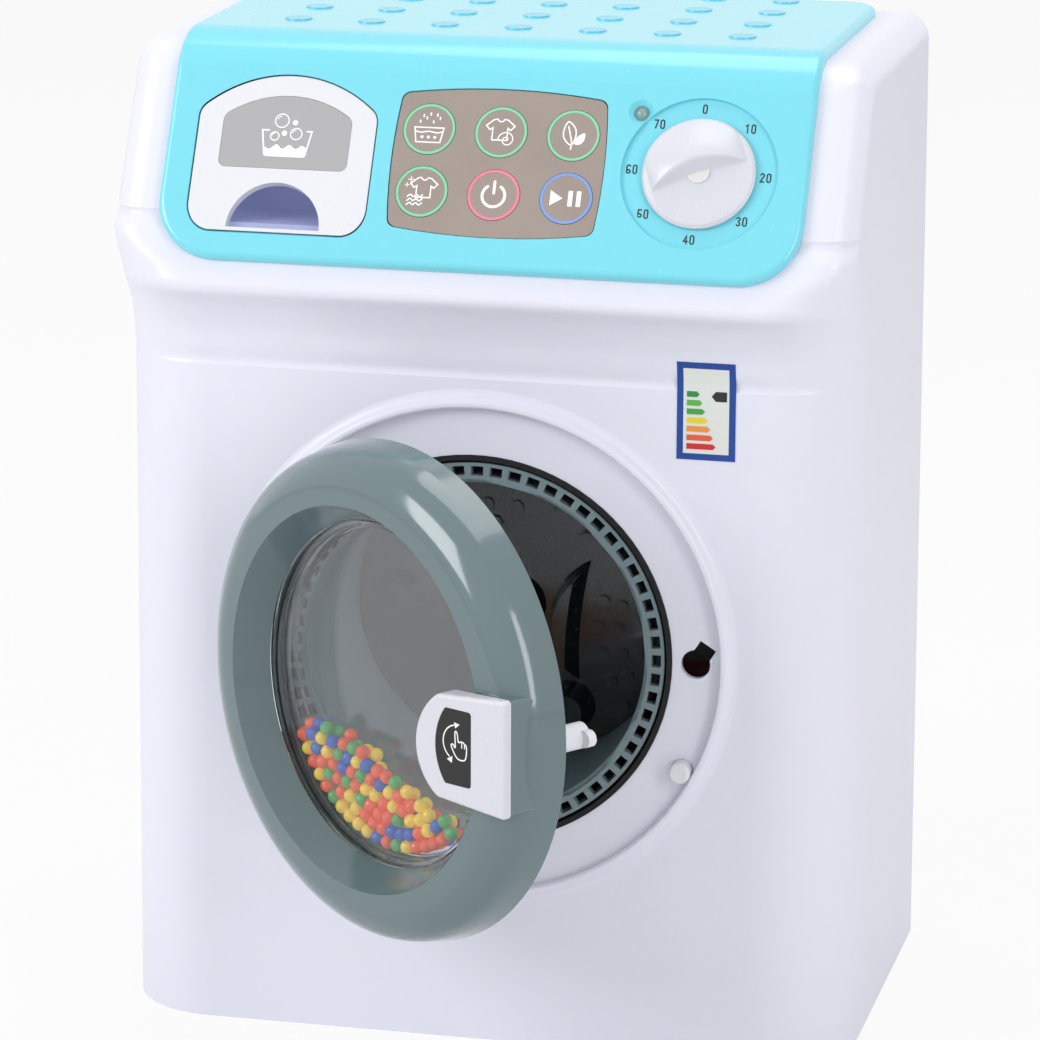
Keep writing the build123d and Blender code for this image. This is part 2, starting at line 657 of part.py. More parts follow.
with BuildPart() as button_membrane:
    with BuildSketch(SLOPE.offset(BOARD_T + 1.6)):
        with Locations((PANEL_X, PANEL_S)):
            Rectangle(54, 36)
    extrude(amount=0.8)
    with BuildSketch(SLOPE.offset(BOARD_T + 2.4)):
        with Locations(*BUTTON_SPOTS):
            Circle(3.6)
    extrude(amount=0.8, taper=25)
button_membrane.part.label = "button_membrane"
export_step(button_membrane.part, "parts/button_membrane.step")

with BuildPart() as control_board:
    with BuildSketch(SLOPE.offset(BOARD_T)):
        with Locations((21.6, 23.0)):
            Rectangle(106.8, 44)
    extrude(amount=1.6)
    with BuildSketch(SLOPE.offset(BOARD_T)):
        with Locations((0, 14)):
            Rectangle(12, 9)
        with Locations((22, 30), (34, 12)):
            Rectangle(6, 6)
        with Locations((60, 34)):
            Circle(3.5)
    extrude(amount=-2.4)
control_board.part.label = "control_board"
export_step(control_board.part, "parts/control_board.step")

with BuildPart() as selector_switch:
    with BuildSketch(SLOPE.offset(BOARD_T + 1.6)):
        with Locations((DIAL_X, DIAL_S)):
            Rectangle(13, 13)
    extrude(amount=4.2)
    with BuildSketch(SLOPE.offset(BOARD_T + 2.6)):
        with Locations((DIAL_X, DIAL_S)):
            Circle(3.05)
    extrude(amount=6, mode=Mode.SUBTRACT)
selector_switch.part.label = "selector_switch"
export_step(selector_switch.part, "parts/selector_switch.step")

with BuildPart() as dial_shaft:
    with BuildSketch(SLOPE.offset(BOARD_T + 2.8)):
        with Locations((DIAL_X, DIAL_S)):
            Circle(3.0)
    extrude(amount=8.6)
dial_shaft.part.label = "dial_shaft"
export_step(dial_shaft.part, "parts/dial_shaft.step")

POINTER_ANGLE = 21.6  # the grip points just short of the 20 mark

KNOB_FOOT = SLOPE.from_local_coords(Vector(DIAL_X, DIAL_S, 2.1))
KNOB_SECTION = Plane(origin=KNOB_FOOT, x_dir=SLOPE.x_dir, z_dir=SLOPE.x_dir.cross(SLOPE.z_dir))

with BuildPart() as dial_knob:
    with BuildSketch(KNOB_SECTION):
        with BuildLine():
            Polyline((0, 0), (KNOB_R, 0), (KNOB_R, 1.4))
            ThreePointArc((KNOB_R, 1.4), (KNOB_R * 0.62, 3.1), (0, 3.7))
            Line((0, 3.7), (0, 0))
        make_face()
    revolve(axis=Axis(KNOB_FOOT, SLOPE.z_dir))
    with BuildLine(mode=Mode.PRIVATE) as ridge:
        ThreePointArc((-10.4, 0.0), (0, 2.2), (10.4, 0.0))
    with BuildSketch(SLOPE.offset(3.4)):
        with Locations(Location((DIAL_X, DIAL_S, 0), (0, 0, POINTER_ANGLE))):
            SlotArc(arc=ridge.edge(), height=4.6)
    extrude(amount=5.0, taper=10)
    with BuildSketch(SLOPE):
        with Locations((DIAL_X, DIAL_S)):
            Circle(3.0)
    extrude(amount=4.4, mode=Mode.SUBTRACT)
dial_knob.part.label = "dial_knob"
export_step(dial_knob.part, "parts/dial_knob.step")

with BuildPart() as indicator_lens:
    with BuildSketch(SLOPE.offset(-2.0)):
        with Locations(LED_AT):
            Circle(1.9)
    extrude(amount=3.2)
    with Locations(SLOPE.offset(1.2) * Location((LED_AT[0], LED_AT[1], 0))):
        Sphere(1.9, arc_size1=0)
indicator_lens.part.label = "indicator_lens"
export_step(indicator_lens.part, "parts/indicator_lens.step")

with BuildPart() as indicator_led:
    with BuildSketch(SLOPE.offset(BOARD_T + 1.6)):
        with Locations(LED_AT):
            Circle(1.5)
    extrude(amount=3.4)
indicator_led.part.label = "indicator_led"
export_step(indicator_led.part, "parts/indicator_led.step")

STICKER_X = (53.3, 68.7)
STICKER_Z = (164.0, 190.0)
STICKER_T = 0.18

with BuildPart() as energy_sticker:
    bend = STICKER_Z[1] - LIP_START
    half_bend = bend / 2
    with BuildSketch(Plane.YZ.offset(STICKER_X[0])):
        with BuildLine():
            Polyline(
                (FRONT_Y - STICKER_T, LIP_START),
                (FRONT_Y - STICKER_T, STICKER_Z[0]),
                (FRONT_Y + 1, STICKER_Z[0]),
                (FRONT_Y + 1, STICKER_Z[1]),
                (FRONT_Y - STICKER_T - lip_reach(STICKER_Z[1]), STICKER_Z[1]),
            )
            ThreePointArc(
                (FRONT_Y - STICKER_T - lip_reach(STICKER_Z[1]), STICKER_Z[1]),
                (FRONT_Y - STICKER_T - lip_reach(LIP_START + half_bend), LIP_START + half_bend),
                (FRONT_Y - STICKER_T, LIP_START),
            )
        make_face()
    extrude(amount=STICKER_X[1] - STICKER_X[0])
    add(outer_form, mode=Mode.SUBTRACT)
energy_sticker.part.label = "energy_sticker"
export_step(energy_sticker.part, "parts/energy_sticker.step")

# ---------------------------------------------------------------- porthole, drum and drive
with BuildPart() as porthole_gasket:
    with BuildSketch(FRONT.offset(-FRONT_Y - 0.1)):
        Circle(PORT_R - 0.05)
        Circle(PORT_R - 1.45, mode=Mode.SUBTRACT)
    extrude(amount=-5.5)
    with BuildSketch(FRONT.offset(-FRONT_Y - WALL - 0.1)):
        Circle(PORT_R + 0.5)
        Circle(PORT_R - 1.45, mode=Mode.SUBTRACT)
    extrude(amount=-1.6)
porthole_gasket.part.label = "porthole_gasket"
export_step(porthole_gasket.part, "parts/porthole_gasket.step")

HOLE_COUNT = 60
HOLE_RING_R = 48.4

with BuildPart() as drum_shell:
    with BuildSketch(Plane.XY.offset(AXIS_Z)):
        with BuildLine():
            Polyline(
                (46.1, DRUM_FACE_Y),
                (DRUM_R, DRUM_FACE_Y),
                (DRUM_R, DRUM_FACE_Y + 7),
                (DRUM_R - 1.2, DRUM_FACE_Y + 7),
                (DRUM_R - 1.2, DRUM_FACE_Y + 2.4),
                (46.6, DRUM_FACE_Y + 2.4),
                (45.4, DRUM_FLOOR_Y + 2.0),
                (2.0, DRUM_FLOOR_Y + 2.0),
                (2.0, DRUM_FLOOR_Y + 0.2),
                (43.8, DRUM_FLOOR_Y + 0.2),
                (45.0, DRUM_FACE_Y + 1.6),
                (46.1, DRUM_FACE_Y + 1.6),
                close=True,
            )
        make_face()
    revolve(axis=Axis((0, 0, AXIS_Z), (0, 1, 0)))
    # Lugs on the inner edge of the mouth.
    with BuildSketch(FRONT.offset(-DRUM_FACE_Y)):
        with PolarLocations(45.9, 10, start_angle=6):
            Rectangle(1.2, 14)
        Circle(45.3, mode=Mode.SUBTRACT)
    extrude(amount=-1.6)
    # Square holes all round the mouth.
    with BuildSketch(FRONT.offset(-DRUM_FACE_Y + 1)):
        with PolarLocations(HOLE_RING_R, HOLE_COUNT):
            Rectangle(2.5, 3.3)
    extrude(amount=-4, mode=Mode.SUBTRACT)
    with BuildSketch(FRONT.offset(-DRUM_FLOOR_Y - 5)):
        Circle(3.0)
    extrude(amount=10, mode=Mode.SUBTRACT)
drum_shell.part.label = "drum_shell"
export_step(drum_shell.part, "parts/drum_shell.step")

PADDLE_H = 9.0
DOT_PATHS = [
    [(23.8, 1.7), (22.4, -5.6), (23.4, -13.0), (25.9, -20.5), (29.4, -27.5)],
    [(28.8, 0.6), (27.8, -6.0), (28.9, -12.8), (30.6, -19.2), (33.3, -24.6)],
]

with BuildPart() as drum_back:
    with BuildSketch(FRONT.offset(-DRUM_FLOOR_Y)):
        Circle(43.6)
    extrude(amount=1.6)
    # Three swirled paddles, each a crescent with a rounded foot.
    with BuildSketch(FRONT.offset(-DRUM_FLOOR_Y + 1.2)):
        with PolarLocations(0, 3):
            with BuildLine():
                ThreePointArc((20.5, 13.5), (9.0, -3.0), (17.5, -21.0))
                ThreePointArc((17.5, -21.0), (17.6, -4.0), (20.5, 13.5))
            make_face()
            with Locations((15.0, -28.0)):
                Circle(7.0)
    extrude(amount=PADDLE_H, taper=14)
    with BuildSketch(FRONT.offset(-DRUM_FLOOR_Y + 1.2)):
        Circle(8.0)
    extrude(amount=5, taper=20)
    # Raised dots between the paddles.
    with BuildSketch(FRONT.offset(-DRUM_FLOOR_Y + 1.6)):
        with PolarLocations(0, 3):
            with Locations(*(DOT_PATHS[0] + DOT_PATHS[1])):
                Circle(1.9)
    extrude(amount=0.9)
    with BuildSketch(FRONT.offset(-DRUM_FLOOR_Y - 1)):
        Circle(3.0)
    extrude(amount=4.5, mode=Mode.SUBTRACT)
drum_back.part.label = "drum_back"
export_step(drum_back.part, "parts/drum_back.step")

with BuildPart() as drum_shaft:
    with BuildSketch(FRONT.offset(-DRUM_FLOOR_Y + 3.0)):
        Circle(3.0)
    extrude(amount=-27)
drum_shaft.part.label = "drum_shaft"
export_step(drum_shaft.part, "parts/drum_shaft.step")

with BuildPart() as shaft_clip:
    with BuildSketch(FRONT.offset(-14.6)):
        Circle(5.2)
        Circle(3.0, mode=Mode.SUBTRACT)
    extrude(amount=-0.8)
shaft_clip.part.label = "shaft_clip"
export_step(shaft_clip.part, "parts/shaft_clip.step")

PRESSURE = radians(20)
BACKLASH = 0.07  # taken off each flank


def gear_outline(teeth, first_angle):
    """Involute gear outline as one closed polyline; first_angle is the centre of a tooth, degrees."""
    pitch_r = GEAR_MODULE * teeth / 2
    base_r = pitch_r * cos(PRESSURE)
    tip_r = pitch_r + 0.95 * GEAR_MODULE
    root_r = pitch_r - 1.2 * GEAR_MODULE
    half_tooth = pi / (2 * teeth) - BACKLASH / pitch_r + tan(PRESSURE) - PRESSURE
    points = []
    for tooth in range(teeth):
        middle = radians(first_angle) + tooth * 2 * pi / teeth
        flank = [(root_r, half_tooth)]
        for step in range(5):
            radius = max(base_r, root_r + 0.01) + (tip_r - max(base_r, root_r + 0.01)) * step / 4
            slip = acos(min(1.0, base_r / radius))
            flank.append((radius, half_tooth - (tan(slip) - slip)))
        for radius, spread in flank:
            points.append((radius * cos(middle - spread), radius * sin(middle - spread)))
        for radius, spread in reversed(flank):
            points.append((radius * cos(middle + spread), radius * sin(middle + spread)))
    with BuildSketch() as outline:
        with BuildLine():
            Polyline(*points, close=True)
        make_face()
    return outline.sketch


CENTRE_DISTANCE = GEAR_MODULE * (DRUM_TEETH + PINION_TEETH) / 2
GEAR_WIDTH = GEAR_Y[1] - GEAR_Y[0]

with BuildPart() as drum_gear:
    with BuildSketch(FRONT.offset(-GEAR_Y[0])):
        add(gear_outline(DRUM_TEETH, -90))
        Circle(3.0, mode=Mode.SUBTRACT)
        with PolarLocations(12.5, 5):
            Circle(4.2, mode=Mode.SUBTRACT)
    extrude(amount=-GEAR_WIDTH)
drum_gear.part.label = "drum_gear"
export_step(drum_gear.part, "parts/drum_gear.step")

with BuildPart() as motor_pinion:
    with BuildSketch(FRONT.offset(-GEAR_Y[0])):
        with Locations((0, -CENTRE_DISTANCE)):
            add(gear_outline(PINION_TEETH, 90 + 180 / PINION_TEETH))
            Circle(1.0, mode=Mode.SUBTRACT)
    extrude(amount=-GEAR_WIDTH)
motor_pinion.part.label = "motor_pinion"
export_step(motor_pinion.part, "parts/motor_pinion.step")

with BuildPart() as motor_shaft:
    with BuildSketch(FRONT.offset(-GEAR_Y[0])):
        with Locations((0, -CENTRE_DISTANCE)):
            Circle(1.0)
    extrude(amount=-30)
motor_shaft.part.label = "motor_shaft"
export_step(motor_shaft.part, "parts/motor_shaft.step")

with BuildPart() as drum_motor:
    with BuildSketch(FRONT.offset(-PLATE_Y[1])):
        with Locations((0, -CENTRE_DISTANCE)):
            Circle(12)
            Rectangle(15.4, 30, mode=Mode.INTERSECT)
    extrude(amount=-26)
    with BuildSketch(FRONT.offset(-PLATE_Y[0] - 0.4)):
        with Locations((0, -CENTRE_DISTANCE)):
            Circle(3.0)
    extrude(amount=-4)
    with BuildSketch(FRONT.offset(-PLATE_Y[0] + 1)):
        with Locations((0, -CENTRE_DISTANCE)):
            Circle(1.05)
    extrude(amount=-25, mode=Mode.SUBTRACT)
drum_motor.part.label = "drum_motor"
export_step(drum_motor.part, "parts/drum_motor.step")

with BuildPart() as motor_bracket:
    with BuildSketch(FRONT.offset(-PLATE_Y[0])):
        RectangleRounded(2 * POST_X + 12, 34, 5)
        RectangleRounded(44, 2 * POST_Z - 10, 5)
        with Locations((POST_X, 0), (-POST_X, 0)):
            RectangleRounded(12, 2 * POST_Z + 12, 5)
    extrude(amount=-(PLATE_Y[1] - PLATE_Y[0]))
    with BuildSketch(FRONT.offset(-PLATE_Y[1])):
        Circle(8.0)
    extrude(amount=-7)
    with BuildSketch(FRONT.offset(-PLATE_Y[0] + 1)):
        Circle(5.0)
        with Locations((0, -CENTRE_DISTANCE)):
            Circle(3.1)
        with Locations((POST_X, POST_Z), (-POST_X, POST_Z), (POST_X, -POST_Z), (-POST_X, -POST_Z)):
            Circle(SCREW_R + 0.1)
    extrude(amount=-20, mode=Mode.SUBTRACT)
motor_bracket.part.label = "motor_bracket"
export_step(motor_bracket.part, "parts/motor_bracket.step")

with BuildPart() as drum_bearing:
    with BuildSketch(FRONT.offset(-PLATE_Y[0])):
        Circle(4.98)
        Circle(3.05, mode=Mode.SUBTRACT)
    extrude(amount=-10)
drum_bearing.part.label = "drum_bearing"
export_step(drum_bearing.part, "parts/drum_bearing.step")

with BuildPart() as bracket_screws:
    with BuildSketch(FRONT.offset(-PLATE_Y[1])):
        with Locations((POST_X, POST_Z), (-POST_X, POST_Z), (POST_X, -POST_Z), (-POST_X, -POST_Z)):
            Circle(2.8)
    extrude(amount=-1.8)
    with BuildSketch(FRONT.offset(-PLATE_Y[1])):
        with Locations((POST_X, POST_Z), (-POST_X, POST_Z), (POST_X, -POST_Z), (-POST_X, -POST_Z)):
            Circle(SCREW_R)
    extrude(amount=11)
bracket_screws.part.label = "bracket_screws"
export_step(bracket_screws.part, "parts/bracket_screws.step")

PIN_V = PIN_AT[1] - AXIS_Z
PIN_TIP_Y = DOOR_BACK_Y + 0.35
PIN_TRAVEL = 2.2

with BuildPart() as switch_plunger:
    with BuildSketch(FRONT.offset(-PIN_TIP_Y)):
        with Locations((PIN_AT[0], PIN_V)):
            Circle(2.85)
    extrude(amount=-13)
    fillet(switch_plunger.faces().sort_by(Axis.Y)[0].edges(), 0.9)
    with BuildSketch(FRONT.offset(-FRONT_Y - WALL - 0.3)):
        with Locations((PIN_AT[0], PIN_V)):
            Circle(4.2)
    extrude(amount=-1.4)
switch_plunger.part.label = "switch_plunger"
export_step(switch_plunger.part, "parts/switch_plunger.step")

SWITCH_Y = PIN_TIP_Y + 13 + PIN_TRAVEL + 0.2

with BuildPart() as door_switch:
    with BuildSketch(FRONT.offset(-SWITCH_Y)):
        with Locations((PIN_AT[0] + 3, PIN_V)):
            Rectangle(16, 8)
    extrude(amount=-7)
    with BuildSketch(FRONT.offset(-FRONT_Y - WALL)):
        with Locations((PIN_AT[0] + 9, PIN_V)):
            Rectangle(2.4, 7)
    extrude(amount=-(SWITCH_Y - FRONT_Y - WALL))
door_switch.part.label = "door_switch"
export_step(door_switch.part, "parts/door_switch.step")

# ---------------------------------------------------------------- hinge
LUG_V = 17.0  # middle of each lug above and below the drum axis
LUG_T = 3.4
KNUCKLE_HALF = 15.0
PIN_R = 1.3

with BuildPart() as hinge_bracket:
    for side in (-1, 1):
        with BuildSketch(Plane.XY.offset(AXIS_Z + side * LUG_V - LUG_T / 2)):
            with Locations((HINGE_X, HINGE_Y)):
                Circle(2.3)
            with Locations((HINGE_X + 1.2, (HINGE_Y + FRONT_Y + DISC_STEP) / 2)):
                Rectangle(4.6, FRONT_Y + DISC_STEP - HINGE_Y)
            with Locations((HINGE_X, HINGE_Y)):
                Circle(PIN_R, mode=Mode.SUBTRACT)
        extrude(amount=LUG_T)
    # Foot plate on the door seat, between the bead and the gasket.
    with BuildSketch(FRONT.offset(-FRONT_Y - DISC_STEP)):
        with Locations((HINGE_X + 3.2, 0)):
            Rectangle(8.6, 2 * LUG_V + LUG_T)
        Circle(BEAD_IN - 0.3, mode=Mode.INTERSECT)
        Circle(PORT_R + 0.4, mode=Mode.SUBTRACT)
    extrude(amount=1.4)
hinge_bracket.part.label = "hinge_bracket"
export_step(hinge_bracket.part, "parts/hinge_bracket.step")

with BuildPart() as hinge_pin:
    with BuildSketch(Plane.XY.offset(AXIS_Z - LUG_V - LUG_T / 2 - 0.2)):
        with Locations((HINGE_X, HINGE_Y)):
            Circle(PIN_R)
    extrude(amount=2 * LUG_V + LUG_T + 0.4)
hinge_pin.part.label = "hinge_pin"
export_step(hinge_pin.part, "parts/hinge_pin.step")

# ---------------------------------------------------------------- door, drawn closed and then swung open
HINGE_AXIS = Axis((HINGE_X, HINGE_Y, 0), (0, 0, 1))
DOOR_SECTION = Plane(origin=(0, DOOR_BACK_Y, AXIS_Z), x_dir=(1, 0, 0), z_dir=(0, 0, 1))  # x outwards, y backwards
CREST_R = 50.4
CREST_T = 15.1
WINDOW_R = 45.3
RING_SKIN = [(DOOR_R, 0), (64.7, -5.0), (62.8, -10.3), (58.4, -13.8), (CREST_R, -CREST_T)]
SKIN_TANGENTS = ((-0.16, -1.0), (-1.0, -0.04))


def ring_face(points_out, points_in):
    """The door ring's section: outer skin, then inner skin, in radius and height above the rear plane."""
    wall_foot, wall_top, knee, shoulder, crest, sill = points_out
    lip, seat, hollow, arch, inner_top, inner_foot = points_in
    with BuildSketch() as section:
        with BuildLine():
            Line(wall_foot, wall_top)
            Spline(wall_top, knee, shoulder, crest, tangents=SKIN_TANGENTS)
            Polyline(crest, sill, lip, seat, hollow)
            ThreePointArc(hollow, arch, inner_top)
            Polyline(inner_top, inner_foot, wall_foot)
        make_face()
    return section.sketch


def swung(part):
    """A door piece turned from closed to its rest position."""
    return part.rotate(HINGE_AXIS, -REST_OPEN)


door_axis = Axis((0, 0, AXIS_Z), (0, 1, 0))
NOTCH_V = 20.5

with BuildPart() as door_ring:
    with BuildSketch(DOOR_SECTION):
        add(
            ring_face(
                [*RING_SKIN, (WINDOW_R, -6.2)],
                [(WINDOW_R, -4.4), (47.6, -4.4), (51.8, -12.9), (57.9, -11.7), (61.1, -9.0), (63.4, 0)],
            )
        )
    revolve(axis=door_axis)
    # Clearance around the hinge lugs and the knuckle.
    with BuildSketch(DOOR):
        with Locations((HINGE_X - 2, 0)):
            Rectangle(12, 2 * NOTCH_V)
        Circle(56.5, mode=Mode.SUBTRACT)
    extrude(amount=7.2, mode=Mode.SUBTRACT)
    # Passage of the latch shaft.
    with BuildSketch(DOOR):
        with Locations((LATCH_U, 0)):
            Circle(3.5)
    extrude(amount=20, mode=Mode.SUBTRACT)
door_ring_open = swung(door_ring.part)
door_ring_open.label = "door_ring"
export_step(door_ring_open, "parts/door_ring.step")

with BuildPart() as door_back:
    with BuildSketch(DOOR_SECTION):
        with BuildLine():
            Polyline(
                (44.2, 0.0),
                (63.2, 0.0),
                (63.2, -1.6),
                (48.9, -1.6),
                (48.9, -2.9),
                (47.7, -2.9),
                (47.7, -1.6),
                (44.2, -1.6),
                close=True,
            )
        make_face()
    revolve(axis=door_axis)
    # Hinge side: the plate stops short of the lugs, and a knuckle turns on the pin.
    with BuildSketch(DOOR.offset(-1)):
        with Locations((HINGE_X - 2, 0)):
            Rectangle(12, 2 * NOTCH_V)
        Circle(56.5, mode=Mode.SUBTRACT)
    extrude(amount=8, mode=Mode.SUBTRACT)
    with BuildSketch(Plane.XY.offset(AXIS_Z - KNUCKLE_HALF)):
        with Locations((HINGE_X, HINGE_Y)):
            Circle(2.4)
        with Locations(((HINGE_X - 55.5) / 2, DOOR_BACK_Y - 2.4)):
            Rectangle(HINGE_X * -1 - 55.5, 1.6)
        with Locations((-55.6, DOOR_BACK_Y - 1.6)):
            Rectangle(1.8, 3.2)
        with Locations((HINGE_X, HINGE_Y)):
            Circle(PIN_R + 0.06, mode=Mode.SUBTRACT)
    extrude(amount=2 * KNUCKLE_HALF)
    # Guide tube for the latch shaft.
    with BuildSketch(DOOR):
        with Locations((LATCH_U, 0)):
            Circle(3.96)
    extrude(amount=8.5)
    with BuildSketch(DOOR.offset(-1)):
        with Locations((LATCH_U, 0)):
            Circle(3.46)
    extrude(amount=14, mode=Mode.SUBTRACT)
    add(door_ring.part, mode=Mode.SUBTRACT)
door_back_open = swung(door_back.part)
door_back_open.label = "door_back"
export_step(door_back_open, "parts/door_back.step")

with BuildPart() as window_front:
    with BuildSketch(DOOR_SECTION):
        with BuildLine():
            Polyline(
                (0, -4.4),
                (44.0, -4.4),
                (44.0, -3.0),
                (47.5, -3.0),
                (47.5, -4.3),
                (45.2, -4.3),
                (45.2, -6.6),
                (44.3, -6.6),
                (44.3, -5.8),
                (0, -5.8),
                close=True,
            )
        make_face()
    revolve(axis=door_axis)
window_front_open = swung(window_front.part)
window_front_open.label = "window_front"
export_step(window_front_open, "parts/window_front.step")

with BuildPart() as window_rear:
    with BuildSketch(DOOR_SECTION):
        with BuildLine():
            Polyline((47.5, -1.7), (47.5, -2.9), (44.0, -2.9), (42.6, 2.6), (0, 2.6), (0, 4.0), (43.6, 4.0))
            Polyline((43.6, 4.0), (44.1, 2.2), (44.1, -1.7), (47.5, -1.7))
        make_face()
    revolve(axis=door_axis)
window_rear_open = swung(window_rear.part)
window_rear_open.label = "window_rear"
export_step(window_rear_open, "parts/window_rear.step")

BEAD_D = 3.75
BEAD_STEP = 3.85
BEAD_FIELD_R = 40.2

with BuildPart() as wash_beads:
    for layer in (0, 1):
        depth = 2.6 - BEAD_D / 2 - 0.05 - layer * 3.15
        shift = layer * BEAD_STEP / 2
        rise = layer * BEAD_STEP * 0.577
        rows = int(2 * BEAD_FIELD_R / (BEAD_STEP * 0.866))
        for row in range(rows):
            v = -BEAD_FIELD_R + row * BEAD_STEP * 0.866 + rise
            for column in range(-11, 12):
                u = column * BEAD_STEP + (row % 2) * BEAD_STEP / 2 + shift
                level = -22.0 - 0.27 * u
                if u * u + v * v < BEAD_FIELD_R**2 and v < level:
                    with Locations(DOOR.location * Location((u, v, -depth))):
                        Sphere(BEAD_D / 2)
wash_beads_open = swung(wash_beads.part)
wash_beads_open.label = "wash_beads"
export_step(wash_beads_open, "parts/wash_beads.step")

CAP_RIGHT = 62.8
CAP_BACK_T = 15.6


def cap_outline(shrink):
    """The handle's D outline, in the door's own x and y."""
    right = CAP_RIGHT - shrink
    with BuildSketch() as outline:
        with BuildLine():
            Line((right, -16.0 + shrink), (right, 14.6 - shrink))
            Line((right, 14.6 - shrink), (41.0, 12.6 - shrink))
            ThreePointArc((41.0, 12.6 - shrink), (34.0 + shrink, -0.7), (41.0, -14.2 + shrink))
            Line((41.0, -14.2 + shrink), (right, -16.0 + shrink))
        make_face()
        fillet(vertices().group_by(Axis.X)[0], 3.0)
        fillet(vertices().group_by(Axis.X)[-1], 1.2)
    return outline.sketch


# The handle's face falls from the grip end to the outer end.
FACE_HIGH = 22.2
FACE_FALL = 10.0
CAP_FACE = Plane(
    origin=DOOR.from_local_coords((38.0, 0, FACE_HIGH)),
    x_dir=(cos(radians(FACE_FALL)), sin(radians(FACE_FALL)), 0),
    z_dir=(sin(radians(FACE_FALL)), -cos(radians(FACE_FALL)), 0),
)

with BuildPart() as latch_base:
    with BuildSketch(DOOR.offset(6)):
        with Locations((57.1, -0.6)):
            Rectangle(10.8, 29.6)
        fillet(vertices(), 1.2)
        Circle(CREST_R + 3.4, mode=Mode.SUBTRACT)
    extrude(amount=CAP_BACK_T - 0.2 - 6)
    with BuildSketch(DOOR.offset(4)):
        with Locations((LATCH_U, 0)):
            Circle(3.46)
    extrude(amount=20, mode=Mode.SUBTRACT)
    with BuildSketch(DOOR_SECTION):
        with BuildLine():
            Line(RING_SKIN[0], RING_SKIN[1])
            Spline(*RING_SKIN[1:], tangents=SKIN_TANGENTS)
            Polyline((CREST_R, -CREST_T), (CREST_R - 2, -4), (CREST_R - 2, 0), (DOOR_R, 0))
        make_face()
    revolve(axis=door_axis, mode=Mode.SUBTRACT)
latch_base_open = swung(latch_base.part)
latch_base_open.label = "latch_base"
export_step(latch_base_open, "parts/latch_base.step")

with BuildPart() as latch_handle:
    with BuildSketch(DOOR.offset(CAP_BACK_T)):
        add(cap_outline(0.0))
    extrude(amount=10)
    with BuildSketch(CAP_FACE):
        Rectangle(120, 80)
    extrude(amount=20, mode=Mode.SUBTRACT)
    fillet(latch_handle.faces().filter_by(lambda f: f.normal_at().dot(CAP_FACE.z_dir) > 0.999).edges(), 1.1)
    # Seat of the dark label and the socket of the shaft.
    with BuildSketch(CAP_FACE):
        with BuildLine():
            Polyline((14.6, -9.8), (14.6, 9.8), (6.2, 9.8))
            ThreePointArc((6.2, 9.8), (3.0, 0), (6.2, -9.8))
            Line((6.2, -9.8), (14.6, -9.8))
        make_face()
        fillet(vertices(), 0.9)
    extrude(amount=-0.6, mode=Mode.SUBTRACT)
    with BuildSketch(DOOR.offset(CAP_BACK_T - 1)):
        with Locations((LATCH_U, 0)):
            Circle(3.2)
    extrude(amount=2.4, mode=Mode.SUBTRACT)
latch_handle_open = swung(latch_handle.part)
latch_handle_open.label = "latch_handle"
export_step(latch_handle_open, "parts/latch_handle.step")

with BuildPart() as latch_label:
    with BuildSketch(CAP_FACE.offset(-0.6)):
        with BuildLine():
            Polyline((14.55, -9.75), (14.55, 9.75), (6.2, 9.75))
            ThreePointArc((6.2, 9.75), (3.05, 0), (6.2, -9.75))
            Line((6.2, -9.75), (14.55, -9.75))
        make_face()
        fillet(vertices(), 0.9)
    extrude(amount=0.55)
latch_label_open = swung(latch_label.part)
latch_label_open.label = "latch_label"
export_step(latch_label_open, "parts/latch_label.step")

with BuildPart() as latch_shaft:
    with BuildSketch(DOOR.offset(-10.6)):
        with Locations((LATCH_U, 0)):
            Circle(3.4)
    extrude(amount=10.6 + CAP_BACK_T - 0.1)
    with BuildSketch(DOOR.offset(CAP_BACK_T - 0.2)):
        with Locations((LATCH_U, 0)):
            Circle(3.2)
    extrude(amount=1.5)
    # Tongue that turns behind the housing wall.
    with BuildSketch(DOOR.offset(-10.6)):
        with Locations((LATCH_U + 2.0, 0)):
            Rectangle(4.0, 4.3)
        with Locations((LATCH_U + 3.7, 0)):
            Circle(2.15)
    extrude(amount=2.4)
latch_shaft_open = swung(latch_shaft.part)
latch_shaft_open.label = "latch_shaft"
export_step(latch_shaft_open, "parts/latch_shaft.step")
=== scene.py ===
"""Looks of a toy front-loading washing machine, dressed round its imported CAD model."""

from __future__ import annotations

import logging
import math
from dataclasses import dataclass, field
from enum import Enum
from typing import Any, Callable, Iterable, Mapping, Sequence

import bmesh
import bpy
import numpy as np
from mathutils import Matrix, Vector


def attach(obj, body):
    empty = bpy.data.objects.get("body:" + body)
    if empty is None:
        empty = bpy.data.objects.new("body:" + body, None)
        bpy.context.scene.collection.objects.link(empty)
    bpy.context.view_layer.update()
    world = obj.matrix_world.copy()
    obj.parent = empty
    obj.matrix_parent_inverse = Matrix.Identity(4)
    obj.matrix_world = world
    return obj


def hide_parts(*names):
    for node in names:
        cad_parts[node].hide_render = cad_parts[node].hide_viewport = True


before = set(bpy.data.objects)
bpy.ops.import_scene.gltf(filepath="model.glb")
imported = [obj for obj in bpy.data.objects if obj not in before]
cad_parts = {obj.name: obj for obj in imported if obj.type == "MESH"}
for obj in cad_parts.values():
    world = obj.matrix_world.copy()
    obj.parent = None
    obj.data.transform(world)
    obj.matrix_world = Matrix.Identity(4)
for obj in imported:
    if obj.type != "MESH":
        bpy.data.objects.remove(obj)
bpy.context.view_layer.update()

log = logging.getLogger("toy_washer")
MM = 0.001

Point = tuple[float, float]
Colour = tuple[float, float, float]


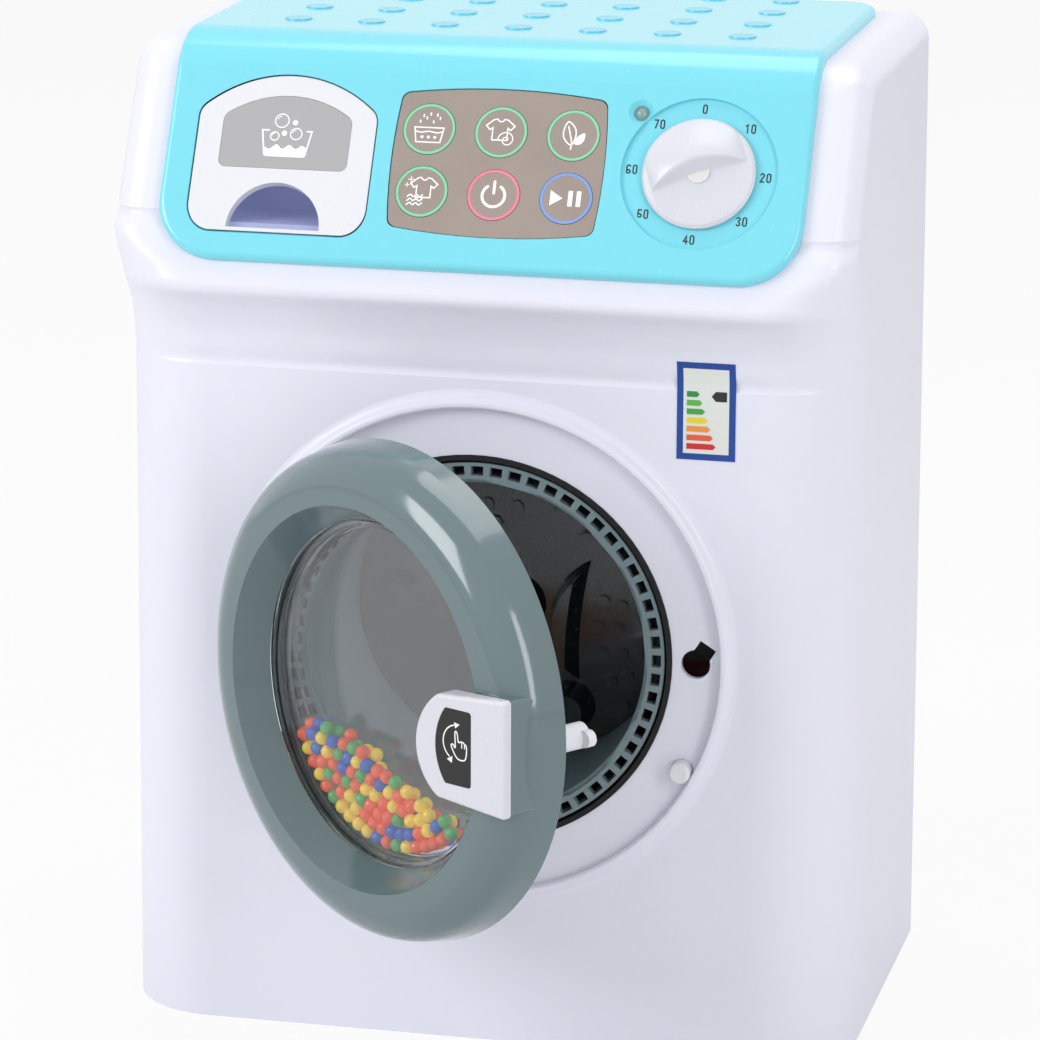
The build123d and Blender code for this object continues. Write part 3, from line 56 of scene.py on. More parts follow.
# ------------------------------------------------------------------ colours and names
def srgb(red: int, green: int, blue: int) -> Colour:
    """Turns an 8-bit screen colour into the linear values that shaders use.

    Args:
        red: Red, 0 to 255.
        green: Green, 0 to 255.
        blue: Blue, 0 to 255.

    Returns:
        The linear colour.
    """

    def channel(value: int) -> float:
        """Linearises one channel."""
        share = value / 255
        return share / 12.92 if share <= 0.04045 else ((share + 0.055) / 1.055) ** 2.4

    return channel(red), channel(green), channel(blue)


class Body(str, Enum):
    """The moving bodies of the CAD model."""

    HOUSING = "housing"
    DOOR = "door"
    LATCH = "latch"
    DRAWER = "drawer"
    DIAL = "dial"


class Symbol(Enum):
    """The pictograms printed on the buttons."""

    SOAK = "soak"
    RINSE = "rinse"
    LEAF = "eco"
    DRY = "dry"
    POWER = "power"
    PLAY = "play"


# ------------------------------------------------------------------ shader writing
class Value:
    """A shader socket that takes part in arithmetic; each operation adds one Math node."""

    def __init__(self, recipe: Recipe, socket: bpy.types.NodeSocket) -> None:
        """Wraps an output socket of a recipe's node tree."""
        self.recipe = recipe
        self.socket = socket

    def _math(self, operation: str, *terms: Value | float) -> Value:
        """Adds a Math node.

        Args:
            operation: The Math node's operation.
            terms: Its operands, in order.

        Returns:
            The node's result.
        """
        values = dict(enumerate(terms))
        return self.recipe.node("ShaderNodeMath", {"operation": operation}, values)

    def __add__(self, other: Value | float) -> Value:
        """Sum."""
        return self._math("ADD", self, other)

    def __radd__(self, other: float) -> Value:
        """Sum with a number on the left."""
        return self._math("ADD", other, self)

    def __sub__(self, other: Value | float) -> Value:
        """Difference."""
        return self._math("SUBTRACT", self, other)

    def __rsub__(self, other: float) -> Value:
        """Difference from a number."""
        return self._math("SUBTRACT", other, self)

    def __mul__(self, other: Value | float) -> Value:
        """Product."""
        return self._math("MULTIPLY", self, other)

    def __truediv__(self, other: Value | float) -> Value:
        """Quotient."""
        return self._math("DIVIDE", self, other)

    def __gt__(self, other: Value | float) -> Value:
        """One where this is the larger, otherwise zero."""
        return self._math("GREATER_THAN", self, other)

    def clamped(self) -> Value:
        """Limits the value to 0 to 1."""
        return self.recipe.node("ShaderNodeClamp", None, {"Value": self})

    def ramped(self, low: float, high: float) -> Value:
        """Rises smoothly from 0 at low to 1 at high.

        Args:
            low: Where the ramp starts.
            high: Where it ends.

        Returns:
            The ramp's value.
        """
        settings = {"interpolation_type": "SMOOTHSTEP"}
        values = {"Value": self, "From Min": low, "From Max": high}
        return self.recipe.node("ShaderNodeMapRange", settings, values)


class Recipe:
    """A material being written."""

    def __init__(self, name: str) -> None:
        """Starts a material with one Principled shader.

        Args:
            name: The material's name.
        """
        self.material = bpy.data.materials.new(name)
        self.material.use_nodes = True
        self.tree = self.material.node_tree
        self.shader = self.tree.nodes["Principled BSDF"]
        self.surface = self.tree.nodes["Material Output"].inputs["Surface"]

    def node(
        self,
        kind: str,
        settings: Mapping[str, Any] | None = None,
        values: Mapping[str | int, Any] | None = None,
        output: str | int = 0,
    ) -> Value:
        """Adds a node.

        Args:
            kind: The node's type.
            settings: Its properties, set before its sockets.
            values: What its input sockets hold or are linked to.
            output: The output wanted.

        Returns:
            That output.
        """
        made = self.tree.nodes.new(kind)
        for key, setting in (settings or {}).items():
            setattr(made, key, setting)
        for key, value in (values or {}).items():
            self.feed(made.inputs[key], value)
        return Value(self, made.outputs[output])

    def feed(self, socket: bpy.types.NodeSocket, value: Any) -> None:
        """Links a value to a socket, or sets the socket to a constant."""
        if isinstance(value, Value):
            self.tree.links.new(value.socket, socket)
        elif isinstance(value, tuple) and len(value) == 3 and socket.type == "RGBA":
            socket.default_value = (*value, 1.0)
        else:
            socket.default_value = value

    def set(self, **sockets: Any) -> None:
        """Sets sockets of the main shader; an underscore in a name stands for a space."""
        for name, value in sockets.items():
            self.feed(self.shader.inputs[name.replace("_", " ")], value)

    def place(self) -> Value:
        """The point on the object, in its own frame."""
        return self.node("ShaderNodeTexCoord", output="Object")

    def noise(
        self,
        per_mm: float,
        detail: float = 2.0,
        stretch: tuple[float, float, float] | None = None,
    ) -> Value:
        """Soft noise.

        Args:
            per_mm: How many features there are in a millimetre.
            detail: Octaves.
            stretch: Scale of each axis, for streaks.

        Returns:
            Noise from 0 to 1.
        """
        where = self.place()
        if stretch is not None:
            values = {"Vector": where, "Scale": stretch}
            where = self.node("ShaderNodeMapping", {"vector_type": "POINT"}, values)
        values = {"Vector": where, "Scale": per_mm / MM, "Detail": detail, "Roughness": 0.55}
        return self.node("ShaderNodeTexNoise", {"noise_dimensions": "3D"}, values)

    def cells(self, per_mm: float) -> Value:
        """Distance to the nearest point of a random scatter."""
        values = {"Vector": self.place(), "Scale": per_mm / MM}
        return self.node("ShaderNodeTexVoronoi", {"feature": "F1"}, values)

    def mix(self, share: Value | float, first: Any, second: Any) -> Value:
        """Mixes two colours.

        Args:
            share: How much of the second.
            first: Colour or link.
            second: Colour or link.

        Returns:
            The mixed colour.
        """
        made = self.tree.nodes.new("ShaderNodeMix")
        made.data_type = "RGBA"
        self.feed(made.inputs["Factor"], share)
        self.feed(made.inputs[6], first)
        self.feed(made.inputs[7], second)
        return Value(self, made.outputs[2])

    def bump(self, height: Value, depth_mm: float, strength: float = 1.0) -> Value:
        """A normal from a height.

        Args:
            height: Height from 0 to 1.
            depth_mm: What 1 means.
            strength: Share of the effect.

        Returns:
            The normal.
        """
        values = {"Height": height, "Distance": depth_mm * MM, "Strength": strength}
        return self.node("ShaderNodeBump", None, values, "Normal")


# ------------------------------------------------------------------ finishes
@dataclass(frozen=True)
class MouldedPlastic:
    """Injection-moulded plastic: a faint skin, colour drift, light handling marks, and an optional glow that
    is painted light, an emission that brightens it though it is no lamp.
    """

    name: str
    colour: Colour
    roughness: float = 0.28
    spread: float = 0.07
    skin_mm: float = 0.006
    skin_per_mm: float = 1.3
    drift: float = 0.04
    scuffs: float = 0.12
    depth: float = 0.0
    coat: float = 0.0
    # glow is painted light: emission strength that makes the plastic shine as if lit, though it is no lamp.
    glow: float = 0.0

    def base(self, made: Recipe, cloud: Value) -> Value:
        """The base colour: the plastic's own, a little darker where the cloud is thin."""
        darker = tuple(part * (1 - self.drift) for part in self.colour)
        return made.mix(cloud, darker, self.colour)

    def material(self) -> bpy.types.Material:
        """Writes the material."""
        made = Recipe(self.name)
        cloud = made.noise(0.03, 3.0)
        scratch = made.noise(0.9, 2.0, (1.0, 0.12, 0.35)).ramped(0.63, 0.78)
        skin = made.noise(self.skin_per_mm, 3.0)
        rough = self.roughness + (cloud - 0.5) * self.spread + scratch * self.scuffs
        made.set(
            Base_Color=self.base(made, cloud),
            Roughness=rough.clamped(),
            Normal=made.bump(skin, self.skin_mm),
            # Painted light: the plastic emits its own colour at the glow strength.
            Emission_Color=self.colour,
            Emission_Strength=self.glow,
            Coat_Weight=self.coat,
            Coat_Roughness=0.08,
            Subsurface_Weight=self.depth,
            Subsurface_Scale=0.004,
            IOR=1.49,
        )
        return made.material


@dataclass(frozen=True)
class DottedPlastic(MouldedPlastic):
    """Moulded plastic with a grid of stronger-coloured round dots on its top."""

    dot_colour: Colour = (0.0, 0.0, 0.0)
    pitch_mm: tuple[float, float] = (20.1, 21.0)
    first_mm: tuple[float, float] = (0.0, 8.9)
    radius_mm: float = 3.7
    columns: int = 7
    above_mm: float = 266.9
    rows_mm: tuple[float, float] = (-20.0, 56.0)
    edge_mm: float = 0.15
    whole_steps: float = 100.5

    def base(self, made: Recipe, cloud: Value) -> Value:
        """The plastic's colour with the dots laid over it."""
        split = made.tree.nodes.new("ShaderNodeSeparateXYZ")
        made.feed(split.inputs[0], made.place())
        x, y, z = (Value(made, split.outputs[axis]) / MM for axis in range(3))
        offsets = []
        for along, pitch, first in zip((x, y), self.pitch_mm, self.first_mm):
            steps = (along - first) / pitch + self.whole_steps
            whole = made.node("ShaderNodeMath", {"operation": "FRACT"}, {0: steps})
            offsets.append((whole - 0.5) * pitch)
        square = offsets[0] * offsets[0] + offsets[1] * offsets[1]
        reach = made.node("ShaderNodeMath", {"operation": "SQRT"}, {0: square})
        inside = 1 - reach.ramped(self.radius_mm - self.edge_mm, self.radius_mm + self.edge_mm)
        half_width = self.columns * self.pitch_mm[0] / 2
        wide = (x > -half_width) * (half_width - x > 0.0)
        deep = (y > self.rows_mm[0]) * (self.rows_mm[1] - y > 0.0)
        share = inside * wide * deep * (z > self.above_mm)
        return made.mix(share.clamped(), super().base(made, cloud), self.dot_colour)


@dataclass(frozen=True)
class SatinMetal:
    """Plain metal with a fine brushed grain."""

    name: str
    colour: Colour
    roughness: float = 0.3
    grain: float = 0.12

    def material(self) -> bpy.types.Material:
        """Writes the material."""
        made = Recipe(self.name)
        streaks = made.noise(3.0, 3.0, (0.08, 1.0, 1.0))
        stain = made.noise(0.15, 2.0)
        darker = tuple(part * 0.8 for part in self.colour)
        made.set(
            Base_Color=made.mix(stain, darker, self.colour),
            Metallic=1.0,
            Roughness=(self.roughness + (streaks - 0.5) * self.grain).clamped(),
            Normal=made.bump(streaks, 0.004),
        )
        return made.material


@dataclass(frozen=True)
class MirrorFoil:
    """Metallised plastic foil: a warm mirror with faint haze and fine dust."""

    name: str
    colour: Colour
    roughness: float = 0.16

    def material(self) -> bpy.types.Material:
        """Writes the material."""
        made = Recipe(self.name)
        haze = made.noise(0.06, 2.0)
        dust = made.cells(0.7)
        speck = 1 - dust.ramped(0.02, 0.09)
        warm = tuple(part * 0.9 for part in self.colour)
        made.set(
            Base_Color=made.mix(haze, warm, self.colour),
            Metallic=0.82,
            Roughness=(self.roughness + haze * 0.1 + speck * 0.25).clamped(),
            Normal=made.bump(made.noise(0.25, 2.0), 0.006),
        )
        return made.material


@dataclass(frozen=True)
class ClearPlastic:
    """Transparent plastic with moulding ripples and a trace of haze."""

    name: str
    colour: Colour
    roughness: float = 0.02
    haze: float = 0.05

    def material(self) -> bpy.types.Material:
        """Writes the material."""
        made = Recipe(self.name)
        ripple = made.noise(0.05, 1.0)
        rub = made.noise(0.8, 2.0, (1.0, 0.2, 0.3)).ramped(0.66, 0.8)
        made.set(
            Base_Color=made.mix(ripple, tuple(part * 0.97 for part in self.colour), self.colour),
            Transmission_Weight=1.0,
            Roughness=(self.roughness + rub * self.haze).clamped(),
            Normal=made.bump(ripple, 0.05),
            IOR=1.46,
        )
        return made.material


@dataclass(frozen=True)
class Rubber:
    """Matte rubber with a dusty bloom."""

    name: str
    colour: Colour
    roughness: float = 0.7

    def material(self) -> bpy.types.Material:
        """Writes the material."""
        made = Recipe(self.name)
        bloom = made.noise(0.4, 3.0)
        lighter = tuple(min(1.0, part * 1.5 + 0.01) for part in self.colour)
        made.set(
            Base_Color=made.mix(bloom * 0.6, self.colour, lighter),
            Roughness=(self.roughness + (bloom - 0.5) * 0.2).clamped(),
            Normal=made.bump(made.noise(2.5, 2.0), 0.02),
            Specular_IOR_Level=0.35,
        )
        return made.material


@dataclass(frozen=True)
class PrintedInk:
    """Ink with a slight grain and uneven cover, and an optional glow that is painted light, an emission that
    lightens it as if lit.
    """

    name: str
    colour: Colour
    roughness: float = 0.42
    # glow is painted light: emission strength that lightens the ink as if lit, though it is no lamp.
    glow: float = 0.0

    def material(self) -> bpy.types.Material:
        """Writes the material."""
        made = Recipe(self.name)
        cover = made.noise(2.2, 2.0)
        worn = made.cells(1.4).ramped(0.0, 0.12)
        thin = tuple(part * 0.88 + 0.01 for part in self.colour)
        made.set(
            Base_Color=made.mix((cover * worn).clamped(), thin, self.colour),
            Roughness=(self.roughness + (cover - 0.5) * 0.15).clamped(),
            Normal=made.bump(cover, 0.004),
            # Painted light: the ink emits its own colour at the glow strength.
            Emission_Color=self.colour,
            Emission_Strength=self.glow,
        )
        return made.material


@dataclass(frozen=True)
class CircuitBoard:
    """Green solder mask over faint copper tracks."""

    name: str
    mask: Colour
    copper: Colour

    def material(self) -> bpy.types.Material:
        """Writes the material."""
        made = Recipe(self.name)
        tracks = made.node(
            "ShaderNodeTexVoronoi",
            {"feature": "DISTANCE_TO_EDGE", "distance": "EUCLIDEAN"},
            {"Vector": made.place(), "Scale": 220.0},
        ).ramped(0.02, 0.06)
        made.set(
            Base_Color=made.mix(tracks, self.copper, self.mask),
            Roughness=(0.5 - tracks * 0.2).clamped(),
            Normal=made.bump(tracks, 0.03),
        )
        return made.material


Finish = MouldedPlastic | SatinMetal | MirrorFoil | ClearPlastic | Rubber | PrintedInk | CircuitBoard

WHITE_SHELL = MouldedPlastic("white_shell", srgb(229, 229, 242), roughness=0.3, depth=0.06, drift=0.015)
WHITE_TRIM = MouldedPlastic("white_trim", srgb(226, 227, 233), roughness=0.24, depth=0.05, drift=0.015)
AQUA_COVER = DottedPlastic(
    "aqua_cover",
    srgb(122, 217, 233),
    roughness=0.2,
    depth=0.08,
    drift=0.03,
    coat=0.25,
    dot_colour=srgb(52, 192, 220),
)
KNOB_WHITE = MouldedPlastic("knob_white", srgb(214, 215, 224), roughness=0.26, depth=0.05, drift=0.015)
DOOR_GREY = MouldedPlastic("door_grey", srgb(98, 118, 122), roughness=0.14, coat=0.5, drift=0.03, scuffs=0.08)
DRUM_GREY = MouldedPlastic("drum_grey", srgb(118, 136, 141), roughness=0.36, coat=0.1)
DRUM_DARK = MouldedPlastic("drum_dark", srgb(27, 34, 37), roughness=0.2, coat=0.5)
# The tray's glow is painted light: it emits to lighten the shaded finger pocket.
LILAC_TRAY = MouldedPlastic("lilac_tray", srgb(158, 165, 205), roughness=0.35, depth=0.05, glow=0.2)
INNER_WHITE = MouldedPlastic("inner_white", srgb(226, 226, 226), roughness=0.45)
NYLON = MouldedPlastic("nylon", srgb(232, 226, 205), roughness=0.4, depth=0.1)
BLACK_PLASTIC = MouldedPlastic("black_plastic", srgb(22, 22, 24), roughness=0.35)
LAMP_LENS = MouldedPlastic("lamp_lens", srgb(128, 156, 156), roughness=0.1, coat=0.8)
LABEL_GREY = MouldedPlastic(
    "label_grey", srgb(170, 169, 171), roughness=0.5, skin_mm=0.02, skin_per_mm=3.5, scuffs=0.05
)
LABEL_BLACK = MouldedPlastic("label_black", srgb(20, 20, 23), roughness=0.3, scuffs=0.05)
PANEL_FOIL = MirrorFoil("panel_foil", srgb(172, 160, 152))
WINDOW_CLEAR = ClearPlastic("window_clear", srgb(250, 252, 255))
GASKET_BLACK = Rubber("gasket_black", srgb(17, 17, 19))
KEYPAD_RUBBER = Rubber("keypad_rubber", srgb(150, 152, 156), 0.6)
STEEL = SatinMetal("steel", srgb(190, 190, 194))
BRASS = SatinMetal("brass", srgb(200, 165, 90), 0.35)
CELL_STEEL = SatinMetal("cell_steel", srgb(150, 152, 160), 0.28)
BOARD = CircuitBoard("board", srgb(18, 84, 46), srgb(150, 120, 70))
INK_BLACK = PrintedInk("ink_black", srgb(24, 26, 30), 0.35)
# The glow of the white, green, pink and blue inks is painted light: they emit to look brighter.
INK_WHITE = PrintedInk("ink_white", srgb(246, 246, 246), 0.4, glow=0.08)
INK_GREEN = PrintedInk("ink_green", srgb(126, 212, 168), 0.3, glow=0.1)
INK_PINK = PrintedInk("ink_pink", srgb(250, 128, 158), 0.3, glow=0.1)
INK_BLUE = PrintedInk("ink_blue", srgb(118, 160, 240), 0.3, glow=0.1)
STICKER_BLUE = PrintedInk("sticker_blue", srgb(10, 66, 150), 0.5)
STICKER_FIELD = PrintedInk("sticker_field", srgb(226, 230, 226), 0.4)
RATING_COLOURS = {
    "rating_dark_green": srgb(40, 140, 62),
    "rating_green": srgb(90, 180, 70),
    "rating_mid_green": srgb(70, 160, 66),
    "rating_yellow": srgb(238, 212, 40),
    "rating_orange": srgb(238, 150, 60),
    "rating_red_orange": srgb(228, 96, 48),
    "rating_red": srgb(208, 36, 36),
}
RATING_INKS = tuple(PrintedInk(name, colour, 0.35) for name, colour in RATING_COLOURS.items())
BEAD_COLOURS = {
    "bead_orange": srgb(240, 92, 48),
    "bead_yellow": srgb(244, 208, 58),
    "bead_green": srgb(74, 168, 84),
    "bead_blue": srgb(36, 92, 190),
}
# The beads' glow is painted light: they emit to look brighter behind the windows.
BEAD_FINISHES = tuple(
    MouldedPlastic(name, colour, roughness=0.2, depth=0.1, scuffs=0.05, glow=0.16)
    for name, colour in BEAD_COLOURS.items()
)


class Palette:
    """Makes each finish's material once."""

    def __init__(self) -> None:
        """Starts empty."""
        self._made: dict[str, bpy.types.Material] = {}

    def of(self, finish: Finish) -> bpy.types.Material:
        """The material of a finish."""
        if finish.name not in self._made:
            self._made[finish.name] = finish.material()
        return self._made[finish.name]


PALETTE = Palette()


# ------------------------------------------------------------------ drawing planes
@dataclass(frozen=True)
class DrawingPlane:
    """A flat plane to draw on, in millimetres: across, up, and out of it."""

    origin: Vector
    across: Vector
    up: Vector
    out: Vector

    def at(self, x: float, y: float, lift: float = 0.0) -> Vector:
        """A point of the plane in metres."""
        return (self.origin + self.across * x + self.up * y + self.out * lift) * MM

    def shifted(self, x: float, y: float, lift: float = 0.0, turn_deg: float = 0.0) -> DrawingPlane:
        """The same plane about another point, turned in itself.

        Args:
            x: New origin across.
            y: New origin up.
            lift: New origin out.
            turn_deg: Turn, counter-clockwise.

        Returns:
            The new plane.
        """
        turn = Matrix.Rotation(math.radians(turn_deg), 3, self.out)
        return DrawingPlane(self.at(x, y, lift) / MM, turn @ self.across, turn @ self.up, self.out)


LEAN = math.radians(29.15)
SLOPE = DrawingPlane(
    Vector((0.0, -61.8, 216.8)),
    Vector((1.0, 0.0, 0.0)),
    Vector((0.0, math.sin(LEAN), math.cos(LEAN))),
    Vector((0.0, -math.cos(LEAN), math.sin(LEAN))),
)
COVER_T = 2.6
REST_OPEN = math.radians(36.25)
HINGE = Vector((-61.95, -65.25, 0.0))
CLOSED_CENTRE = Vector((0.0, -62.2, 108.8))
SWING = Matrix.Rotation(-REST_OPEN, 3, "Z")
DOOR = DrawingPlane(
    HINGE + SWING @ (CLOSED_CENTRE - HINGE),
    SWING @ Vector((1.0, 0.0, 0.0)),
    Vector((0.0, 0.0, 1.0)),
    SWING @ Vector((0.0, -1.0, 0.0)),
)
CAP_FALL = math.radians(10.0)
CAP_FACE = DrawingPlane(
    DOOR.at(38.0, 0.0, 22.2) / MM,
    DOOR.across * math.cos(CAP_FALL) - DOOR.out * math.sin(CAP_FALL),
    DOOR.up,
    DOOR.across * math.sin(CAP_FALL) + DOOR.out * math.cos(CAP_FALL),
)


# ------------------------------------------------------------------ mesh helpers
def make_piece(
    name: str,
    points: Sequence[Vector],
    faces: Sequence[Sequence[int]],
    finishes: Sequence[Finish],
    body: str,
    face_finish: Sequence[int] | None = None,
) -> bpy.types.Object:
    """Makes a mesh piece that rides on a body.

    Args:
        name: The piece's name.
        points: Its vertices, in metres.
        faces: Its faces.
        finishes: Its materials.
        body: The CAD body it rides on.
        face_finish: Which finish each face takes.

    Returns:
        The new object.
    """
    mesh = bpy.data.meshes.new(name)
    mesh.from_pydata([tuple(point) for point in points], [], [tuple(face) for face in faces])
    for finish in finishes:
        mesh.materials.append(PALETTE.of(finish))
    if face_finish is not None:
        mesh.polygons.foreach_set("material_index", list(face_finish))
    mesh.update()
    made = bpy.data.objects.new(name, mesh)
    bpy.context.collection.objects.link(made)
    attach(made, body)
    return made


def smooth(made: bpy.types.Object, angle_deg: float = 30.0) -> bpy.types.Object:
    """Shades an object smoothly, with sharp edges above an angle.

    Args:
        made: The object.
        angle_deg: The angle.

    Returns:
        The same object.
    """
    mesh = made.data
    mesh.polygons.foreach_set("use_smooth", [True] * len(mesh.polygons))
    mesh.set_sharp_from_angle(angle=math.radians(angle_deg))
    return made


def soften_edges(made: bpy.types.Object, width_mm: float, angle_deg: float = 40.0) -> None:
    """Gives an object's hard edges a small rounding.

    Args:
        made: The object.
        width_mm: The rounding's width.
        angle_deg: Edges sharper than this are rounded.
    """
    bevel = made.modifiers.new("edge_rounding", "BEVEL")
    bevel.width = width_mm * MM
    bevel.segments = 2
    bevel.limit_method = "ANGLE"
    bevel.angle_limit = math.radians(angle_deg)
    bevel.harden_normals = True
    bevel.use_clamp_overlap = True


def dress(node: str, finish: Finish, edge_mm: float = 0.0) -> bpy.types.Object:
    """Gives a CAD node its material.

    Args:
        node: The node's name.
        finish: Its finish.
        edge_mm: Rounding of its hard edges.

    Returns:
        The node's object.
    """
    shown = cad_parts[node]
    shown.data.materials.clear()
    shown.data.materials.append(PALETTE.of(finish))
    smooth(shown, 24.0)
    if edge_mm:
        soften_edges(shown, edge_mm)
    return shown


def arc(centre: Point, radius: float, start: float, end: float, count: int = 24) -> list[Point]:
    """Points along a circular arc.

    Args:
        centre: Its centre.
        radius: Its radius.
        start: First angle, degrees.
        end: Last angle, degrees.
        count: Number of runs.

    Returns:
        The points.
    """
    return [
        (
            centre[0] + radius * math.cos(math.radians(start + (end - start) * step / count)),
            centre[1] + radius * math.sin(math.radians(start + (end - start) * step / count)),
        )
        for step in range(count + 1)
    ]


def flowing(points: Sequence[Point], closed: bool = False, steps: int = 6) -> list[Point]:
    """A smooth curve through points.

    Args:
        points: The points it passes.
        closed: Whether it ends where it starts.
        steps: Runs between two points.

    Returns:
        Points along the curve.
    """
    count = len(points)
    spans = count if closed else count - 1
    made: list[Point] = []
    for span in range(spans):
        near = [span + k for k in (-1, 0, 1, 2)]
        around = [points[k % count if closed else min(max(k, 0), count - 1)] for k in near]
        for step in range(steps):
            t = step / steps
            weights = (
                -0.5 * t + t * t - 0.5 * t**3,
                1 - 2.5 * t * t + 1.5 * t**3,
                0.5 * t + 2 * t * t - 1.5 * t**3,
                -0.5 * t * t + 0.5 * t**3,
            )
            made.append(tuple(sum(w * p[axis] for w, p in zip(weights, around)) for axis in (0, 1)))
    if not closed:
        made.append(tuple(points[-1]))
    return made


class Drawing:
    """Flat printed shapes gathered on a plane and made into one thin piece."""

    def __init__(self, place: Callable[[float, float, float], Vector], thickness_mm: float = 0.06) -> None:
        """Starts an empty drawing.

        Args:
            place: Turns x, y and lift in millimetres into a point in metres.
            thickness_mm: How far the print stands out.
        """
        self.place = place
        self.thickness = thickness_mm
        self.outlines: list[tuple[list[Point], list[Point] | None]] = []

    def fill(self, outline: Sequence[Point]) -> None:
        """Adds a filled shape."""
        self.outlines.append((list(outline), None))

    def disc(self, centre: Point, radius: float) -> None:
        """Adds a filled circle."""
        self.fill(arc(centre, radius, 0, 345, 23))

    def ring(self, centre: Point, outer: float, inner: float, count: int = 64) -> None:
        """Adds a ring between two circles."""
        step = 360 / count
        circles = [arc(centre, radius, 0, 360 - step, count - 1) for radius in (outer, inner)]
        self.outlines.append((circles[0], circles[1]))

    def loop(self, path: Sequence[Point], width: float) -> None:
        """Adds a closed line of a given width."""
        self.outlines.append((self._beside(path, width / 2, True), self._beside(path, -width / 2, True)))

    def line(self, path: Sequence[Point], width: float) -> None:
        """Adds an open line with round ends."""
        left = self._beside(path, width / 2, False)
        right = self._beside(path, -width / 2, False)
        tail = self._cap(path[-1], path[-2], width / 2)
        head = self._cap(path[0], path[1], width / 2)
        self.fill(left + tail + right[::-1] + head)

    @staticmethod
    def _cap(end: Point, inner: Point, radius: float) -> list[Point]:
        """Points round the end of a line."""
        heading = math.degrees(math.atan2(end[1] - inner[1], end[0] - inner[0]))
        return arc(end, radius, heading + 72, heading - 72, 4)

    @staticmethod
    def _beside(path: Sequence[Point], offset: float, closed: bool) -> list[Point]:
        """Points at a distance to the left of a path."""
        count = len(path)
        made = []
        for index, (x, y) in enumerate(path):
            before = path[(index - 1) % count] if closed or index else path[index]
            after = path[(index + 1) % count] if closed or index < count - 1 else path[index]
            first = Vector((x - before[0], y - before[1]))
            second = Vector((after[0] - x, after[1] - y))
            first = first.normalized() if first.length > 1e-9 else second.normalized()
            second = second.normalized() if second.length > 1e-9 else first
            bisector = (first + second).normalized()
            stretch = 1 / max(0.5, bisector.dot(first))
            made.append((x - bisector.y * offset * stretch, y + bisector.x * offset * stretch))
        return made

    def build(self, name: str, finish: Finish, body: str, slot: str, lift: float = 0.0) -> bpy.types.Object:
        """Makes the piece.

        Args:
            name: Its name.
            finish: Its ink.
            body: The CAD body it rides on.
            slot: A material slot name, not used.
            lift: Height of its underside above the plane.

        Returns:
            The new object.
        """
        made = bmesh.new()
        for outer, inner in self.outlines:
            for loop in self._faces(outer, inner):
                corners = [made.verts.new(self.place(x, y, lift)) for x, y in loop]
                made.faces.new(corners)
        bmesh.ops.remove_doubles(made, verts=made.verts, dist=1e-7)
        bmesh.ops.triangulate(made, faces=made.faces[:])
        self._thicken(made, lift)
        mesh = bpy.data.meshes.new(name)
        made.to_mesh(mesh)
        made.free()
        mesh.materials.append(PALETTE.of(finish))
        piece = bpy.data.objects.new(name, mesh)
        bpy.context.collection.objects.link(piece)
        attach(piece, body)
        return piece

    @staticmethod
    def _faces(outer: Sequence[Point], inner: Sequence[Point] | None) -> list[list[Point]]:
        """The flat faces of one shape."""
        if inner is None:
            return [list(outer)]
        count = len(outer)
        return [[outer[k], outer[(k + 1) % count], inner[(k + 1) % count], inner[k]] for k in range(count)]

    def _thicken(self, made: bmesh.types.BMesh, lift: float) -> None:
        """Raises the faces to the drawing's thickness and closes the sides."""
        outward = (self.place(0, 0, lift + 1) - self.place(0, 0, lift)).normalized()
        for face in made.faces:
            face.normal_update()
            if face.normal.dot(outward) < 0:
                face.normal_flip()
        grown = bmesh.ops.extrude_face_region(made, geom=made.faces[:])
        tops = [item for item in grown["geom"] if isinstance(item, bmesh.types.BMVert)]
        bmesh.ops.translate(made, verts=tops, vec=outward * self.thickness * MM)


@dataclass(frozen=True)
class Digits:
    """Narrow upright digits drawn as strokes, in millimetres round each digit's centre."""

    height: float = 2.5
    width: float = 1.25
    weight: float = 0.34
    gap: float = 0.42

    def strokes(self, digit: str) -> list[list[Point]]:
        """The strokes of one digit.

        Args:
            digit: A digit from 0 to 7.

        Returns:
            Its strokes.
        """
        h, w = self.height / 2 - self.weight / 2, self.width / 2 - self.weight / 2
        bend = w * 0.9
        loop = arc((0.0, h - bend), w, 0, 180, 8) + arc((0.0, bend - h), w, 180, 360, 8) + [(w, h - bend)]
        hook = arc((0.0, h - bend), w, 165, -50, 10)
        bowl_r = (h + 0.25) / 2
        shapes: dict[str, list[list[Point]]] = {
            "0": [loop],
            "1": [[(-w * 0.8, h * 0.62), (w * 0.25, h), (w * 0.25, -h)]],
            "2": [hook + [(-w, -h), (w, -h)]],
            "3": [
                arc((0.0, h - w * 0.95), w * 0.95, 160, -85, 10),
                arc((0.0, w - h), w, 88, -160, 12),
            ],
            "4": [[(w * 1.15, -h * 0.42), (-w * 1.1, -h * 0.42), (w * 0.45, h), (w * 0.45, -h)]],
            "5": [
                [(w, h), (-w * 0.8, h), (-w * 0.95, h * 0.08)] + arc((0.0, bowl_r - h), w, 150, -150, 12),
            ],
            "6": [
                arc((0.0, w - h), w, 0, 360, 16),
                [(-w, w - h), (-w, h - w)] + arc((0.0, h - w), w, 180, 20, 8),
            ],
            "7": [[(-w, h), (w, h), (-w * 0.25, -h)]],
        }
        return shapes[digit]

    def draw(self, ink: Drawing, text: str, centre: Point) -> None:
        """Draws a number centred on a point."""
        step = self.width + self.gap
        for index, digit in enumerate(text):
            shift = centre[0] + (index - (len(text) - 1) / 2) * step
            for stroke in self.strokes(digit):
                ink.line([(shift + x, centre[1] + y) for x, y in stroke], self.weight)


